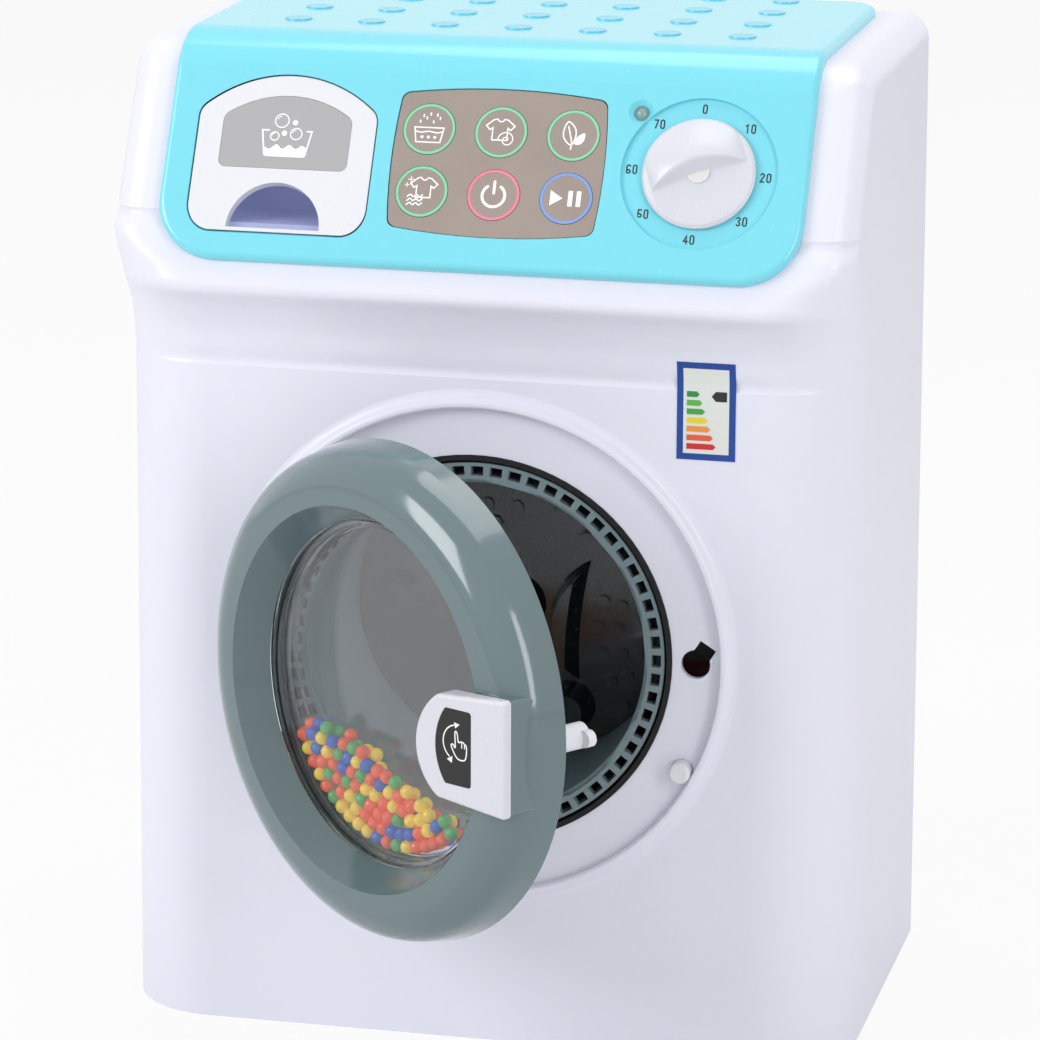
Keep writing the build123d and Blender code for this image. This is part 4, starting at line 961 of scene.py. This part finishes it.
# ------------------------------------------------------------------ sub-assemblies
@dataclass
class HousingShell:
    """White housing with its base, back, screws, gasket and rating sticker."""

    front_y: float = -58.0
    lip_start: float = 182.0
    lip_radius: float = 28.0
    sticker_x: tuple[float, float] = (53.3, 68.7)
    sticker_z: tuple[float, float] = (164.0, 190.0)
    sticker_t: float = 0.18
    frame_width: float = 1.7
    film_t: float = 0.03
    field_gap: float = 0.02
    print_gap: float = 0.07
    bar_rows: int = 7
    bar_pitch: float = 2.3
    bar_half: float = 0.75
    bar_margin: float = 0.9
    bar_shortest: float = 2.6
    bar_growth: float = 0.72
    first_bar: float = 3.6
    pointer_back: float = 4.6
    pointer_drop: float = 9.0
    pointer_size: tuple[float, float, float] = (1.1, 4.0, 1.3)

    def wall(self, x: float, z: float, lift: float) -> Vector:
        """A point on the front wall, which curves out under the console."""
        rise = max(0.0, z - self.lip_start)
        under = self.lip_radius - math.sqrt(self.lip_radius**2 - rise**2)
        return Vector((x, self.front_y - under - lift, z)) * MM

    def build(self) -> list[bpy.types.Object]:
        """Dresses the shell and prints the sticker."""
        dress("front_housing", WHITE_SHELL, 0.25)
        dress("back_panel", WHITE_SHELL, 0.2)
        dress("battery_hatch", WHITE_SHELL, 0.2)
        dress("base_plate", INNER_WHITE, 0.2)
        dress("battery_box", INNER_WHITE)
        dress("porthole_gasket", GASKET_BLACK, 0.2)
        for node in ("back_screws", "base_screws", "hatch_screw", "battery_contacts"):
            dress(node, STEEL)
        dress("batteries", CELL_STEEL, 0.3)
        dress("speaker", BLACK_PLASTIC, 0.3)
        return self._sticker()

    def _patch(self, name: str, x: Point, z: Point, lift: float, finish: Finish) -> bpy.types.Object:
        """A thin rectangle that follows the wall.

        Args:
            name: The piece's name.
            x: Its left and right edges.
            z: Its low and high edges.
            lift: Height above the wall.
            finish: Its material.

        Returns:
            The new object.
        """
        rows = 12
        points = []
        for row in range(rows + 1):
            height = z[0] + (z[1] - z[0]) * row / rows
            points += [self.wall(x[0], height, lift), self.wall(x[1], height, lift)]
        faces = [(2 * row, 2 * row + 1, 2 * row + 3, 2 * row + 2) for row in range(rows)]
        made = make_piece(name, points, faces, [finish], Body.HOUSING.value)
        skin = made.modifiers.new("film", "SOLIDIFY")
        skin.thickness = self.film_t * MM
        skin.offset = 1.0
        return made

    def _sticker(self) -> list[bpy.types.Object]:
        """The sticker: blue frame, pale field, growing rating bars and a pointer."""
        dress("energy_sticker", STICKER_BLUE)
        left, right = self.sticker_x
        low, high = self.sticker_z
        edge = self.frame_width
        lift = self.sticker_t
        print_lift = lift + self.print_gap
        across, along = (left + edge, right - edge), (low + edge, high - edge)
        made = [self._patch("sticker_field", across, along, lift + self.field_gap, STICKER_FIELD)]
        tip = self.bar_half
        for row in range(self.bar_rows):
            z = low + self.first_bar + (self.bar_rows - 1 - row) * self.bar_pitch
            x = left + edge + self.bar_margin
            end = x + self.bar_shortest + row * self.bar_growth
            bar = Drawing(self.wall)
            bar.fill([(x, z - tip), (end, z - tip), (end + tip, z), (end, z + tip), (x, z + tip)])
            name = f"rating_bar_{row}"
            made.append(bar.build(name, RATING_INKS[row], Body.HOUSING.value, "sticker_print", print_lift))
        pointer = Drawing(self.wall)
        x, z = right - edge - self.pointer_back, high - self.pointer_drop
        neck, end, half = self.pointer_size
        low_side = [(x + end, z - half), (x + neck, z - half)]
        pointer.fill([(x, z), (x + neck, z + half), (x + end, z + half), *low_side])
        body = Body.HOUSING.value
        made.append(pointer.build("rating_pointer", INK_BLACK, body, "sticker_print", print_lift))
        return made


@dataclass
class ConsoleCover:
    """Aqua cover with the numbers round the dial and the indicator lamp."""

    numbers: Mapping[int, Point] = field(
        default_factory=lambda: {
            0: (56.8, 40.6),
            10: (69.1, 35.8),
            20: (74.4, 22.8),
            30: (69.4, 10.8),
            40: (56.3, 5.3),
            50: (43.6, 11.6),
            60: (39.4, 23.5),
            70: (45.3, 36.0),
        }
    )
    dish_lift: float = COVER_T - 0.9

    def build(self) -> list[bpy.types.Object]:
        """Dresses the cover and prints the numbers."""
        dress("console_cover", AQUA_COVER, 0.25)
        dress("indicator_lens", LAMP_LENS)
        dress("indicator_led", LAMP_LENS)
        made = []
        digits = Digits()
        for number, spot in self.numbers.items():
            ink = Drawing(SLOPE.shifted(*spot, self.dish_lift).at)
            digits.draw(ink, str(number), (0.0, 0.0))
            made.append(ink.build(f"numeral_{number}", INK_BLACK, Body.HOUSING.value, "cover_aqua"))
        return made


@dataclass
class SoapDrawer:
    """Drawer front with its pictogram label, tray and guide."""

    label_centre: Point = (-53.0, 28.6)
    stroke: float = 0.42

    def build(self) -> list[bpy.types.Object]:
        """Dresses the drawer and prints the tub with bubbles."""
        dress("drawer_front", WHITE_TRIM, 0.3)
        dress("drawer_label", LABEL_GREY)
        dress("drawer_tray", LILAC_TRAY, 0.2)
        dress("drawer_guide", INNER_WHITE)
        plane = SLOPE.shifted(*self.label_centre, COVER_T - 0.25)
        print_ = Drawing(plane.at)
        left = [(-4.9, 0.7), (-6.7, 0.7), (-5.5, -6.0), (-5.0, -6.3)]
        right = [(5.0, -6.3), (5.5, -6.0), (6.7, 0.7), (5.4, 0.7)]
        print_.line(left + right, self.stroke)
        crests = [(-5.6, -3.9), (-4.2, -4.4), (-2.4, -3.1), (-0.8, -4.3)]
        crests += [(1.0, -3.2), (2.8, -4.2), (4.4, -3.3), (5.7, -3.9)]
        water = flowing(crests)
        print_.fill([(-5.2, -6.2), *water, (5.2, -6.2)])
        for centre, radius in (((-1.7, 3.4), 2.0), ((-3.2, -0.9), 1.3), ((2.5, -0.1), 1.7)):
            print_.ring(centre, radius, radius - 0.32, 32)
            print_.line(arc(centre, radius * 0.62, 100, 165, 8), 0.22)
        print_.disc((1.9, 3.0), 0.72)
        print_.disc((-0.7, 0.0), 0.75)
        return [print_.build("drawer_pictogram", INK_WHITE, Body.DRAWER.value, "label_grey")]


@dataclass
class ButtonPanel:
    """Mirror panel with six round buttons, their rings and pictograms."""

    centre: Point = (4.1, 23.05)
    pitch: float = 19.15
    row: float = 8.54
    ring_outer: float = 6.85
    ring_inner: float = 6.2
    cap_lift: float = 2.35
    stroke: float = 0.36
    rings: Mapping[Symbol, Finish] = field(
        default_factory=lambda: {
            Symbol.SOAK: INK_GREEN,
            Symbol.RINSE: INK_GREEN,
            Symbol.LEAF: INK_GREEN,
            Symbol.DRY: INK_GREEN,
            Symbol.POWER: INK_PINK,
            Symbol.PLAY: INK_BLUE,
        }
    )

    def spot(self, symbol: Symbol) -> Point:
        """Centre of a button on the slope."""
        index = list(Symbol).index(symbol)
        column, row = index % 3, index // 3
        return (self.centre[0] + (column - 1) * self.pitch, self.centre[1] + (1 - 2 * row) * self.row)

    def build(self) -> list[bpy.types.Object]:
        """Dresses the panel and prints each button."""
        dress("button_panel", PANEL_FOIL, 0.15)
        dress("button_frame", BLACK_PLASTIC)
        dress("button_membrane", KEYPAD_RUBBER)
        dress("control_board", BOARD)
        made = []
        artists: dict[Symbol, Callable[[Drawing], None]] = {
            Symbol.SOAK: self._tub,
            Symbol.RINSE: self._shirt_and_spiral,
            Symbol.LEAF: self._leaves,
            Symbol.DRY: self._shirt_and_waves,
            Symbol.POWER: self._power,
            Symbol.PLAY: self._play,
        }
        for symbol, artist in artists.items():
            dress(f"{symbol.value}_button", PANEL_FOIL, 0.2)
            body = f"{symbol.value}_key"
            plane = SLOPE.shifted(*self.spot(symbol), self.cap_lift)
            rim = Drawing(plane.at)
            rim.ring((0.0, 0.0), self.ring_outer, self.ring_inner)
            made.append(rim.build(f"{symbol.value}_ring", self.rings[symbol], body, "button_clear"))
            picture = Drawing(plane.at)
            artist(picture)
            made.append(picture.build(f"{symbol.value}_pictogram", INK_WHITE, body, "button_clear"))
        return made

    def _tub(self, ink: Drawing) -> None:
        """A tub with dots, and drops above it."""
        ink.loop([(-3.9, 0.4), (-3.3, 0.4), (3.3, 0.4), (3.9, 0.4), (3.2, -3.6), (-3.2, -3.6)], self.stroke)
        ink.line([(-3.4, -0.7), (-2.2, -1.0), (0.0, -0.6), (2.2, -1.0), (3.4, -0.7)], self.stroke)
        for x in (-1.7, 0.0, 1.7):
            ink.disc((x, -2.2), 0.42)
        for x, y in ((-2.6, 2.0), (-0.9, 3.0), (0.9, 2.0), (2.6, 3.0), (-1.8, 3.6), (0.0, 4.1), (1.8, 3.9)):
            ink.line([(x, y - 0.25), (x, y + 0.25)], 0.42)

    def _shirt(self, ink: Drawing, centre: Point, size: float) -> None:
        """A T-shirt's outline."""
        half = [(0.9, 3.0), (2.0, 2.8), (4.0, 1.1), (2.9, -0.1), (2.1, 0.5), (2.1, -3.0)]
        outline = half + [(-x, y) for x, y in half[::-1]]
        neck = arc((0.0, 3.2), 0.95, 190, 350, 6)
        path = [(centre[0] + x * size, centre[1] + y * size) for x, y in outline + neck]
        ink.loop(path, self.stroke)

    def _shirt_and_spiral(self, ink: Drawing) -> None:
        """A shirt with a spinning spiral."""
        self._shirt(ink, (-0.3, 0.7), 0.95)
        turns = []
        for k in range(18):
            reach, angle = 0.35 + 0.115 * k, 0.55 * k
            turns.append((1.6 + reach * math.cos(angle), -2.0 + reach * math.sin(angle)))
        ink.line(flowing(turns, steps=3), self.stroke * 0.85)

    def _shirt_and_waves(self, ink: Drawing) -> None:
        """A shirt over three waves."""
        self._shirt(ink, (0.5, 1.1), 0.9)
        for level in (-1.2, -2.3, -3.4):
            wave = [(-3.6 + 0.8 * k, level + (0.3 if k % 2 else -0.3)) for k in range(6)]
            ink.line(flowing(wave, steps=4), self.stroke)
        for x, y, reach in ((-3.1, 3.2, 0.75), (-4.0, 1.7, 0.5)):
            ink.line([(x - reach, y), (x + reach, y)], 0.22)
            ink.line([(x, y - reach), (x, y + reach)], 0.22)

    def _leaves(self, ink: Drawing) -> None:
        """A large leaf and a small one on a stalk."""
        blade = [(-0.4, -2.6), (-2.4, -0.8), (-2.6, 1.6), (-1.6, 3.7), (0.3, 2.0), (0.6, -0.4)]
        ink.loop(flowing(blade, True), self.stroke)
        ink.line(flowing([(-0.4, -3.8), (-0.3, -1.8), (-0.9, 0.4), (-1.5, 2.4)]), self.stroke)
        ink.fill(flowing([(0.4, -2.2), (1.0, -0.4), (2.9, 0.8), (3.0, -1.0), (2.0, -2.3)], True))

    def _power(self, ink: Drawing) -> None:
        """The power mark."""
        ink.line(arc((0.0, -0.2), 3.0, 125, 415, 40), 0.75)
        ink.line([(0.0, 0.5), (0.0, 3.6)], 0.75)

    def _play(self, ink: Drawing) -> None:
        """The play and pause mark."""
        ink.fill([(-4.2, -2.1), (-4.2, 2.1), (-0.9, 0.0)])
        for x in (0.5, 2.7):
            ink.fill([(x, -2.1), (x + 1.2, -2.1), (x + 1.2, 2.1), (x, 2.1)])


@dataclass
class TimerDial:
    """White knob with a crescent grip that points between 10 and 20."""

    centre: Point = (57.2, 22.8)
    radius: float = 14.75
    foot: float = 2.1
    rim: float = 1.4
    dome: float = 1.5
    grip_half: float = 12.6
    grip_height: float = 3.1
    grip_bow: float = 3.9
    foot_y: float = -1.0
    hollow: float = 1.1
    pointer_deg: float = 21.6
    round_width: float = 0.8
    round_drop: float = 0.5
    rings: int = 72
    spokes: int = 192

    def height(self, x: float, y: float) -> float:
        """Height of the knob's face above its rim, in the grip's own directions.

        Args:
            x: Along the grip.
            y: Across it, towards the raised side.

        Returns:
            The height in millimetres.
        """
        share = min(1.0, math.hypot(x, y) / self.radius)
        base = self.dome * (1 - share**2)
        run = x / self.grip_half
        if abs(run) >= 1:
            return base
        taper = 1 - run**2
        crest_y = self.foot_y + self.grip_bow * taper
        crest_h = self.grip_height * taper**0.6
        if y > crest_y:
            return base + crest_h * (1 - self._step((y - crest_y) / (self.radius - crest_y)))
        hollow = -self.hollow * taper
        if y > self.foot_y:
            fall = self._step((crest_y - y) / max(1e-6, crest_y - self.foot_y))
            return base + crest_h + (hollow - crest_h) * fall
        return base + hollow * (1 - self._step((self.foot_y - y) / (self.radius + self.foot_y)))

    @staticmethod
    def _step(share: float) -> float:
        """A smooth step from 0 to 1."""
        share = min(1.0, max(0.0, share))
        return share * share * (3 - 2 * share)

    def build(self) -> list[bpy.types.Object]:
        """Makes the sculpted knob in place of the plain one."""
        dress("dial_shaft", INNER_WHITE)
        dress("selector_switch", BLACK_PLASTIC)
        plane = SLOPE.shifted(*self.centre, self.foot, self.pointer_deg)
        points = [plane.at(0.0, 0.0, self.rim + self.height(0.0, 0.0))]
        for ring in range(1, self.rings + 1):
            distance = self.radius * ring / self.rings
            for spoke in range(self.spokes):
                angle = 2 * math.pi * spoke / self.spokes
                x, y = distance * math.cos(angle), distance * math.sin(angle)
                rounding = (distance - self.radius + self.round_width) / self.round_width
                edge = self.round_drop * self._step(rounding)
                points.append(plane.at(x, y, self.rim + self.height(x, y) - edge))
        for spoke in range(self.spokes):
            angle = 2 * math.pi * spoke / self.spokes
            points.append(plane.at(self.radius * math.cos(angle), self.radius * math.sin(angle), 0.0))
        count = self.spokes
        faces: list[tuple[int, ...]] = [(0, 1 + spoke, 1 + (spoke + 1) % count) for spoke in range(count)]
        for ring in range(self.rings):
            start = 1 + ring * count
            for spoke in range(count):
                after = (spoke + 1) % count
                faces.append((start + spoke, start + count + spoke, start + count + after, start + after))
        faces.append(tuple(range(1 + self.rings * count, 1 + (self.rings + 1) * count))[::-1])
        knob = make_piece("sculpted_knob", points, faces, [KNOB_WHITE], Body.DIAL.value)
        smooth(knob, 50.0)
        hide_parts("dial_knob")
        return [knob]


@dataclass
class WashDrum:
    """Drum, its drive, the door switch and the hinge pin."""

    def build(self) -> list[bpy.types.Object]:
        """Dresses the drum and the works behind it."""
        dress("drum_shell", DRUM_GREY, 0.15)
        dress("drum_back", DRUM_DARK, 0.3)
        for node in ("drum_shaft", "shaft_clip", "motor_shaft", "drum_motor", "bracket_screws", "hinge_pin"):
            dress(node, STEEL)
        dress("drum_gear", NYLON)
        dress("motor_pinion", NYLON)
        dress("motor_bracket", INNER_WHITE, 0.2)
        dress("drum_bearing", BRASS)
        dress("switch_plunger", WHITE_TRIM)
        dress("door_switch", BLACK_PLASTIC, 0.2)
        return []


@dataclass
class BeadDoor:
    """Door ring, its hinge bracket, both windows and the heap of beads between them."""

    bead_count: int = 150
    bead_radius: float = 1.87
    field_radius: float = 42.2
    depth: tuple[float, float] = (-2.55, 4.35)
    tilt: float = -0.27
    seed: int = 7
    fall_steps: int = 450
    settle_steps: int = 150
    rest_steps: int = 100
    colour_shares: tuple[float, ...] = (0.34, 0.27, 0.2, 0.19)

    def build(self) -> list[bpy.types.Object]:
        """Dresses the door and lays the beads."""
        dress("door_ring", DOOR_GREY, 0.2)
        dress("door_back", DOOR_GREY, 0.2)
        dress("hinge_bracket", WHITE_SHELL, 0.2)
        dress("window_front", WINDOW_CLEAR)
        dress("window_rear", WINDOW_CLEAR)
        return [self._beads()]

    def _settle(self) -> np.ndarray:
        """Lets the beads fall into a heap between the windows.

        Returns:
            Their centres in the door's own directions, in millimetres.
        """
        rng = np.random.default_rng(self.seed)
        reach = self.field_radius - self.bead_radius
        low, high = self.depth[0] + self.bead_radius, self.depth[1] - self.bead_radius
        spots = np.column_stack(
            [
                rng.uniform(-26, 22, self.bead_count),
                rng.uniform(-38, -6, self.bead_count),
                rng.uniform(low, high, self.bead_count),
            ]
        )
        pull = np.array([self.tilt, -1.0, 0.0])
        pull /= np.linalg.norm(pull)
        touching = 2 * self.bead_radius
        strides = [0.25] * self.fall_steps + [0.08] * self.settle_steps + [0.0] * self.rest_steps
        for stride in strides:
            spots += pull * stride
            for _ in range(3):
                gaps = spots[:, None, :] - spots[None, :, :]
                lengths = np.linalg.norm(gaps, axis=2) + np.eye(self.bead_count) * 99
                overlap = np.maximum(0.0, touching - lengths)
                spots += 0.5 * ((overlap / lengths)[:, :, None] * gaps).sum(axis=1)
                outward = np.hypot(spots[:, 0], spots[:, 1])
                shrink = np.minimum(1.0, reach / np.maximum(outward, 1e-6))
                spots[:, :2] *= shrink[:, None]
                spots[:, 2] = np.clip(spots[:, 2], low, high)
        return spots

    def _beads(self) -> bpy.types.Object:
        """One piece with every bead, each in one of the colours."""
        rng = np.random.default_rng(self.seed + 1)
        ball = bmesh.new()
        bmesh.ops.create_icosphere(ball, subdivisions=3, radius=self.bead_radius * MM)
        ball_points = [vert.co.copy() for vert in ball.verts]
        ball_faces = [[vert.index for vert in face.verts] for face in ball.faces]
        ball.free()
        points: list[Vector] = []
        faces: list[list[int]] = []
        colours: list[int] = []
        for centre in self._settle():
            place = DOOR.at(*centre)
            start = len(points)
            points += [place + point for point in ball_points]
            faces += [[start + corner for corner in face] for face in ball_faces]
            colours += [int(rng.choice(len(BEAD_FINISHES), p=self.colour_shares))] * len(ball_faces)
        heap = make_piece("bead_heap", points, faces, BEAD_FINISHES, Body.DOOR.value, colours)
        smooth(heap, 180.0)
        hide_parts("wash_beads")
        return heap


@dataclass
class DoorLatch:
    """Turning handle with its dark label."""

    stroke: float = 0.34
    label_centre: Point = (9.0, 1.2)

    def build(self) -> list[bpy.types.Object]:
        """Dresses the latch and prints the turning hand."""
        dress("latch_handle", KNOB_WHITE, 0.2)
        dress("latch_shaft", WHITE_TRIM, 0.2)
        dress("latch_base", DOOR_GREY, 0.2)
        dress("latch_label", LABEL_BLACK)
        plane = CAP_FACE.shifted(*self.label_centre, -0.05)
        ink = Drawing(plane.at, 0.04)
        turn = arc((1.2, 0.0), 4.6, 105, 235, 20)
        ink.line(turn, self.stroke)
        ink.fill([(0.1, 5.2), (0.5, 3.7), (1.9, 4.9)])
        ink.fill([(-2.2, -4.6), (-0.4, -3.6), (-0.6, -5.4)])
        hand = [(0.4, 2.6), (1.1, 2.6), (1.5, 0.4), (2.6, 0.6), (3.5, 0.2), (4.1, -0.4), (4.1, -2.4)]
        hand += [(3.5, -4.0), (1.3, -4.0), (-0.2, -2.2), (-0.8, -0.8), (-0.2, -0.5), (0.5, -1.2)]
        ink.loop(flowing(hand, True, 3), self.stroke)
        ink.line([(2.6, 0.5), (2.6, -1.0)], self.stroke * 0.8)
        ink.line([(3.5, 0.1), (3.5, -1.0)], self.stroke * 0.8)
        return [ink.build("latch_pictogram", INK_WHITE, Body.LATCH.value, "label_dark")]


# ------------------------------------------------------------------ studio
@dataclass(frozen=True)
class SoftLamp:
    """A rectangular soft lamp aimed at a point."""

    name: str
    place: tuple[float, float, float]
    aim: tuple[float, float, float]
    size: tuple[float, float]
    power: float

    def build(self) -> None:
        """Adds the lamp."""
        light = bpy.data.lights.new(self.name, "AREA")
        light.shape = "RECTANGLE"
        light.size, light.size_y = self.size
        light.energy = self.power
        lamp = bpy.data.objects.new(self.name, light)
        lamp.location = self.place
        lamp.rotation_mode = "QUATERNION"
        lamp.rotation_quaternion = (Vector(self.aim) - Vector(self.place)).to_track_quat("-Z", "Y")
        bpy.context.collection.objects.link(lamp)


@dataclass
class Studio:
    """Pale floor, white surroundings, soft lamps and the camera."""

    camera_mm: tuple[float, float, float] = (302.94, -1294.21, 475.15)
    yaw: float = 0.2313
    pitch: float = 0.2544
    roll: float = -0.0045
    lens: float = 173.77
    sensor_mm: float = 36.0
    floor_m: float = 6.0
    floor_glow: float = 0.86
    ambient: float = 0.62
    lamps: tuple[SoftLamp, ...] = (
        SoftLamp("key_lamp", (-1.3, -1.0, 0.95), (0.0, -0.05, 0.14), (0.8, 0.8), 13.0),
        SoftLamp("fill_lamp", (1.15, -1.0, 0.7), (0.0, -0.05, 0.13), (0.35, 1.1), 6.0),
        SoftLamp("top_lamp", (0.1, 0.25, 1.5), (0.0, 0.0, 0.15), (1.0, 0.8), 6.0),
    )

    def build(self) -> None:
        """Builds the whole studio."""
        self._world()
        self._floor()
        self._camera()
        for lamp in self.lamps:
            lamp.build()
        bpy.context.scene.view_settings.view_transform = "Standard"

    def _camera(self) -> None:
        """The camera at the photograph's viewing angle."""
        sy, cy, sp, cp = math.sin(self.yaw), math.cos(self.yaw), math.sin(self.pitch), math.cos(self.pitch)
        ahead = Vector((-sy * cp, cy * cp, -sp))
        right = Vector((cy, sy, 0.0))
        down = ahead.cross(right)
        image_right = right * math.cos(self.roll) + down * math.sin(self.roll)
        image_down = down * math.cos(self.roll) - right * math.sin(self.roll)
        turn = Matrix((image_right, -image_down, -ahead)).transposed().to_4x4()
        turn.translation = Vector(self.camera_mm) * MM
        lens = bpy.data.cameras.new("photo_camera")
        lens.lens = self.lens
        lens.sensor_width = self.sensor_mm
        lens.clip_start, lens.clip_end = 0.05, 50.0
        camera = bpy.data.objects.new("photo_camera", lens)
        camera.matrix_world = turn
        bpy.context.collection.objects.link(camera)
        bpy.context.scene.camera = camera

    def _world(self) -> None:
        """White surroundings for the camera, reflections and glass; softer light elsewhere."""
        world = bpy.data.worlds.new("surroundings")
        bpy.context.scene.world = world
        world.use_nodes = True
        tree = world.node_tree
        path = tree.nodes.new("ShaderNodeLightPath")
        seen = tree.nodes.new("ShaderNodeMath")
        seen.operation = "MAXIMUM"
        tree.links.new(path.outputs["Is Camera Ray"], seen.inputs[0])
        tree.links.new(path.outputs["Is Transmission Ray"], seen.inputs[1])
        mirrored = tree.nodes.new("ShaderNodeMath")
        mirrored.operation = "MAXIMUM"
        tree.links.new(seen.outputs[0], mirrored.inputs[0])
        tree.links.new(path.outputs["Is Glossy Ray"], mirrored.inputs[1])
        strength = tree.nodes.new("ShaderNodeMapRange")
        tree.links.new(mirrored.outputs[0], strength.inputs["Value"])
        strength.inputs["To Min"].default_value = self.ambient
        strength.inputs["To Max"].default_value = 1.0
        background = tree.nodes["Background"]
        background.inputs["Color"].default_value = (1.0, 1.0, 1.0, 1.0)
        tree.links.new(strength.outputs[0], background.inputs["Strength"])

    def _floor(self) -> None:
        """A pale floor that shows white but keeps the shadow."""
        half = self.floor_m / 2
        mesh = bpy.data.meshes.new("floor")
        corners = [(-half, -half, 0), (half, -half, 0), (half, half, 0), (-half, half, 0)]
        mesh.from_pydata(corners, [], [(0, 1, 2, 3)])
        made = Recipe("floor_paper")
        grain = made.noise(0.02, 2.0)
        made.set(Base_Color=made.mix(grain, (0.80, 0.80, 0.80), (0.83, 0.83, 0.83)), Roughness=0.8)
        path = made.tree.nodes.new("ShaderNodeLightPath")
        glow = made.tree.nodes.new("ShaderNodeEmission")
        glow.inputs["Strength"].default_value = 1.0
        seen = Value(made, path.outputs["Is Camera Ray"])
        glassy = Value(made, path.outputs["Is Transmission Ray"])
        blend = made.tree.nodes.new("ShaderNodeMixShader")
        made.feed(blend.inputs["Fac"], ((seen + glassy) * self.floor_glow).clamped())
        made.tree.links.new(made.shader.outputs["BSDF"], blend.inputs[1])
        made.tree.links.new(glow.outputs["Emission"], blend.inputs[2])
        made.tree.links.new(blend.outputs["Shader"], made.surface)
        mesh.materials.append(made.material)
        floor = bpy.data.objects.new("floor", mesh)
        bpy.context.collection.objects.link(floor)


def main() -> None:
    """Builds every sub-assembly in order and reports its pieces."""
    logging.basicConfig(level=logging.INFO, format="%(name)s: %(message)s")
    Studio().build()
    kinds = (HousingShell, ConsoleCover, SoapDrawer, ButtonPanel, TimerDial, WashDrum, BeadDoor, DoorLatch)
    for unit in [kind() for kind in kinds]:
        pieces: Iterable[bpy.types.Object] = unit.build()
        names = ", ".join(piece.name for piece in pieces) or "CAD pieces only"
        log.info("%s: %s", type(unit).__name__, names)
    bpy.context.view_layer.update()


if __name__ == "__main__":
    main()
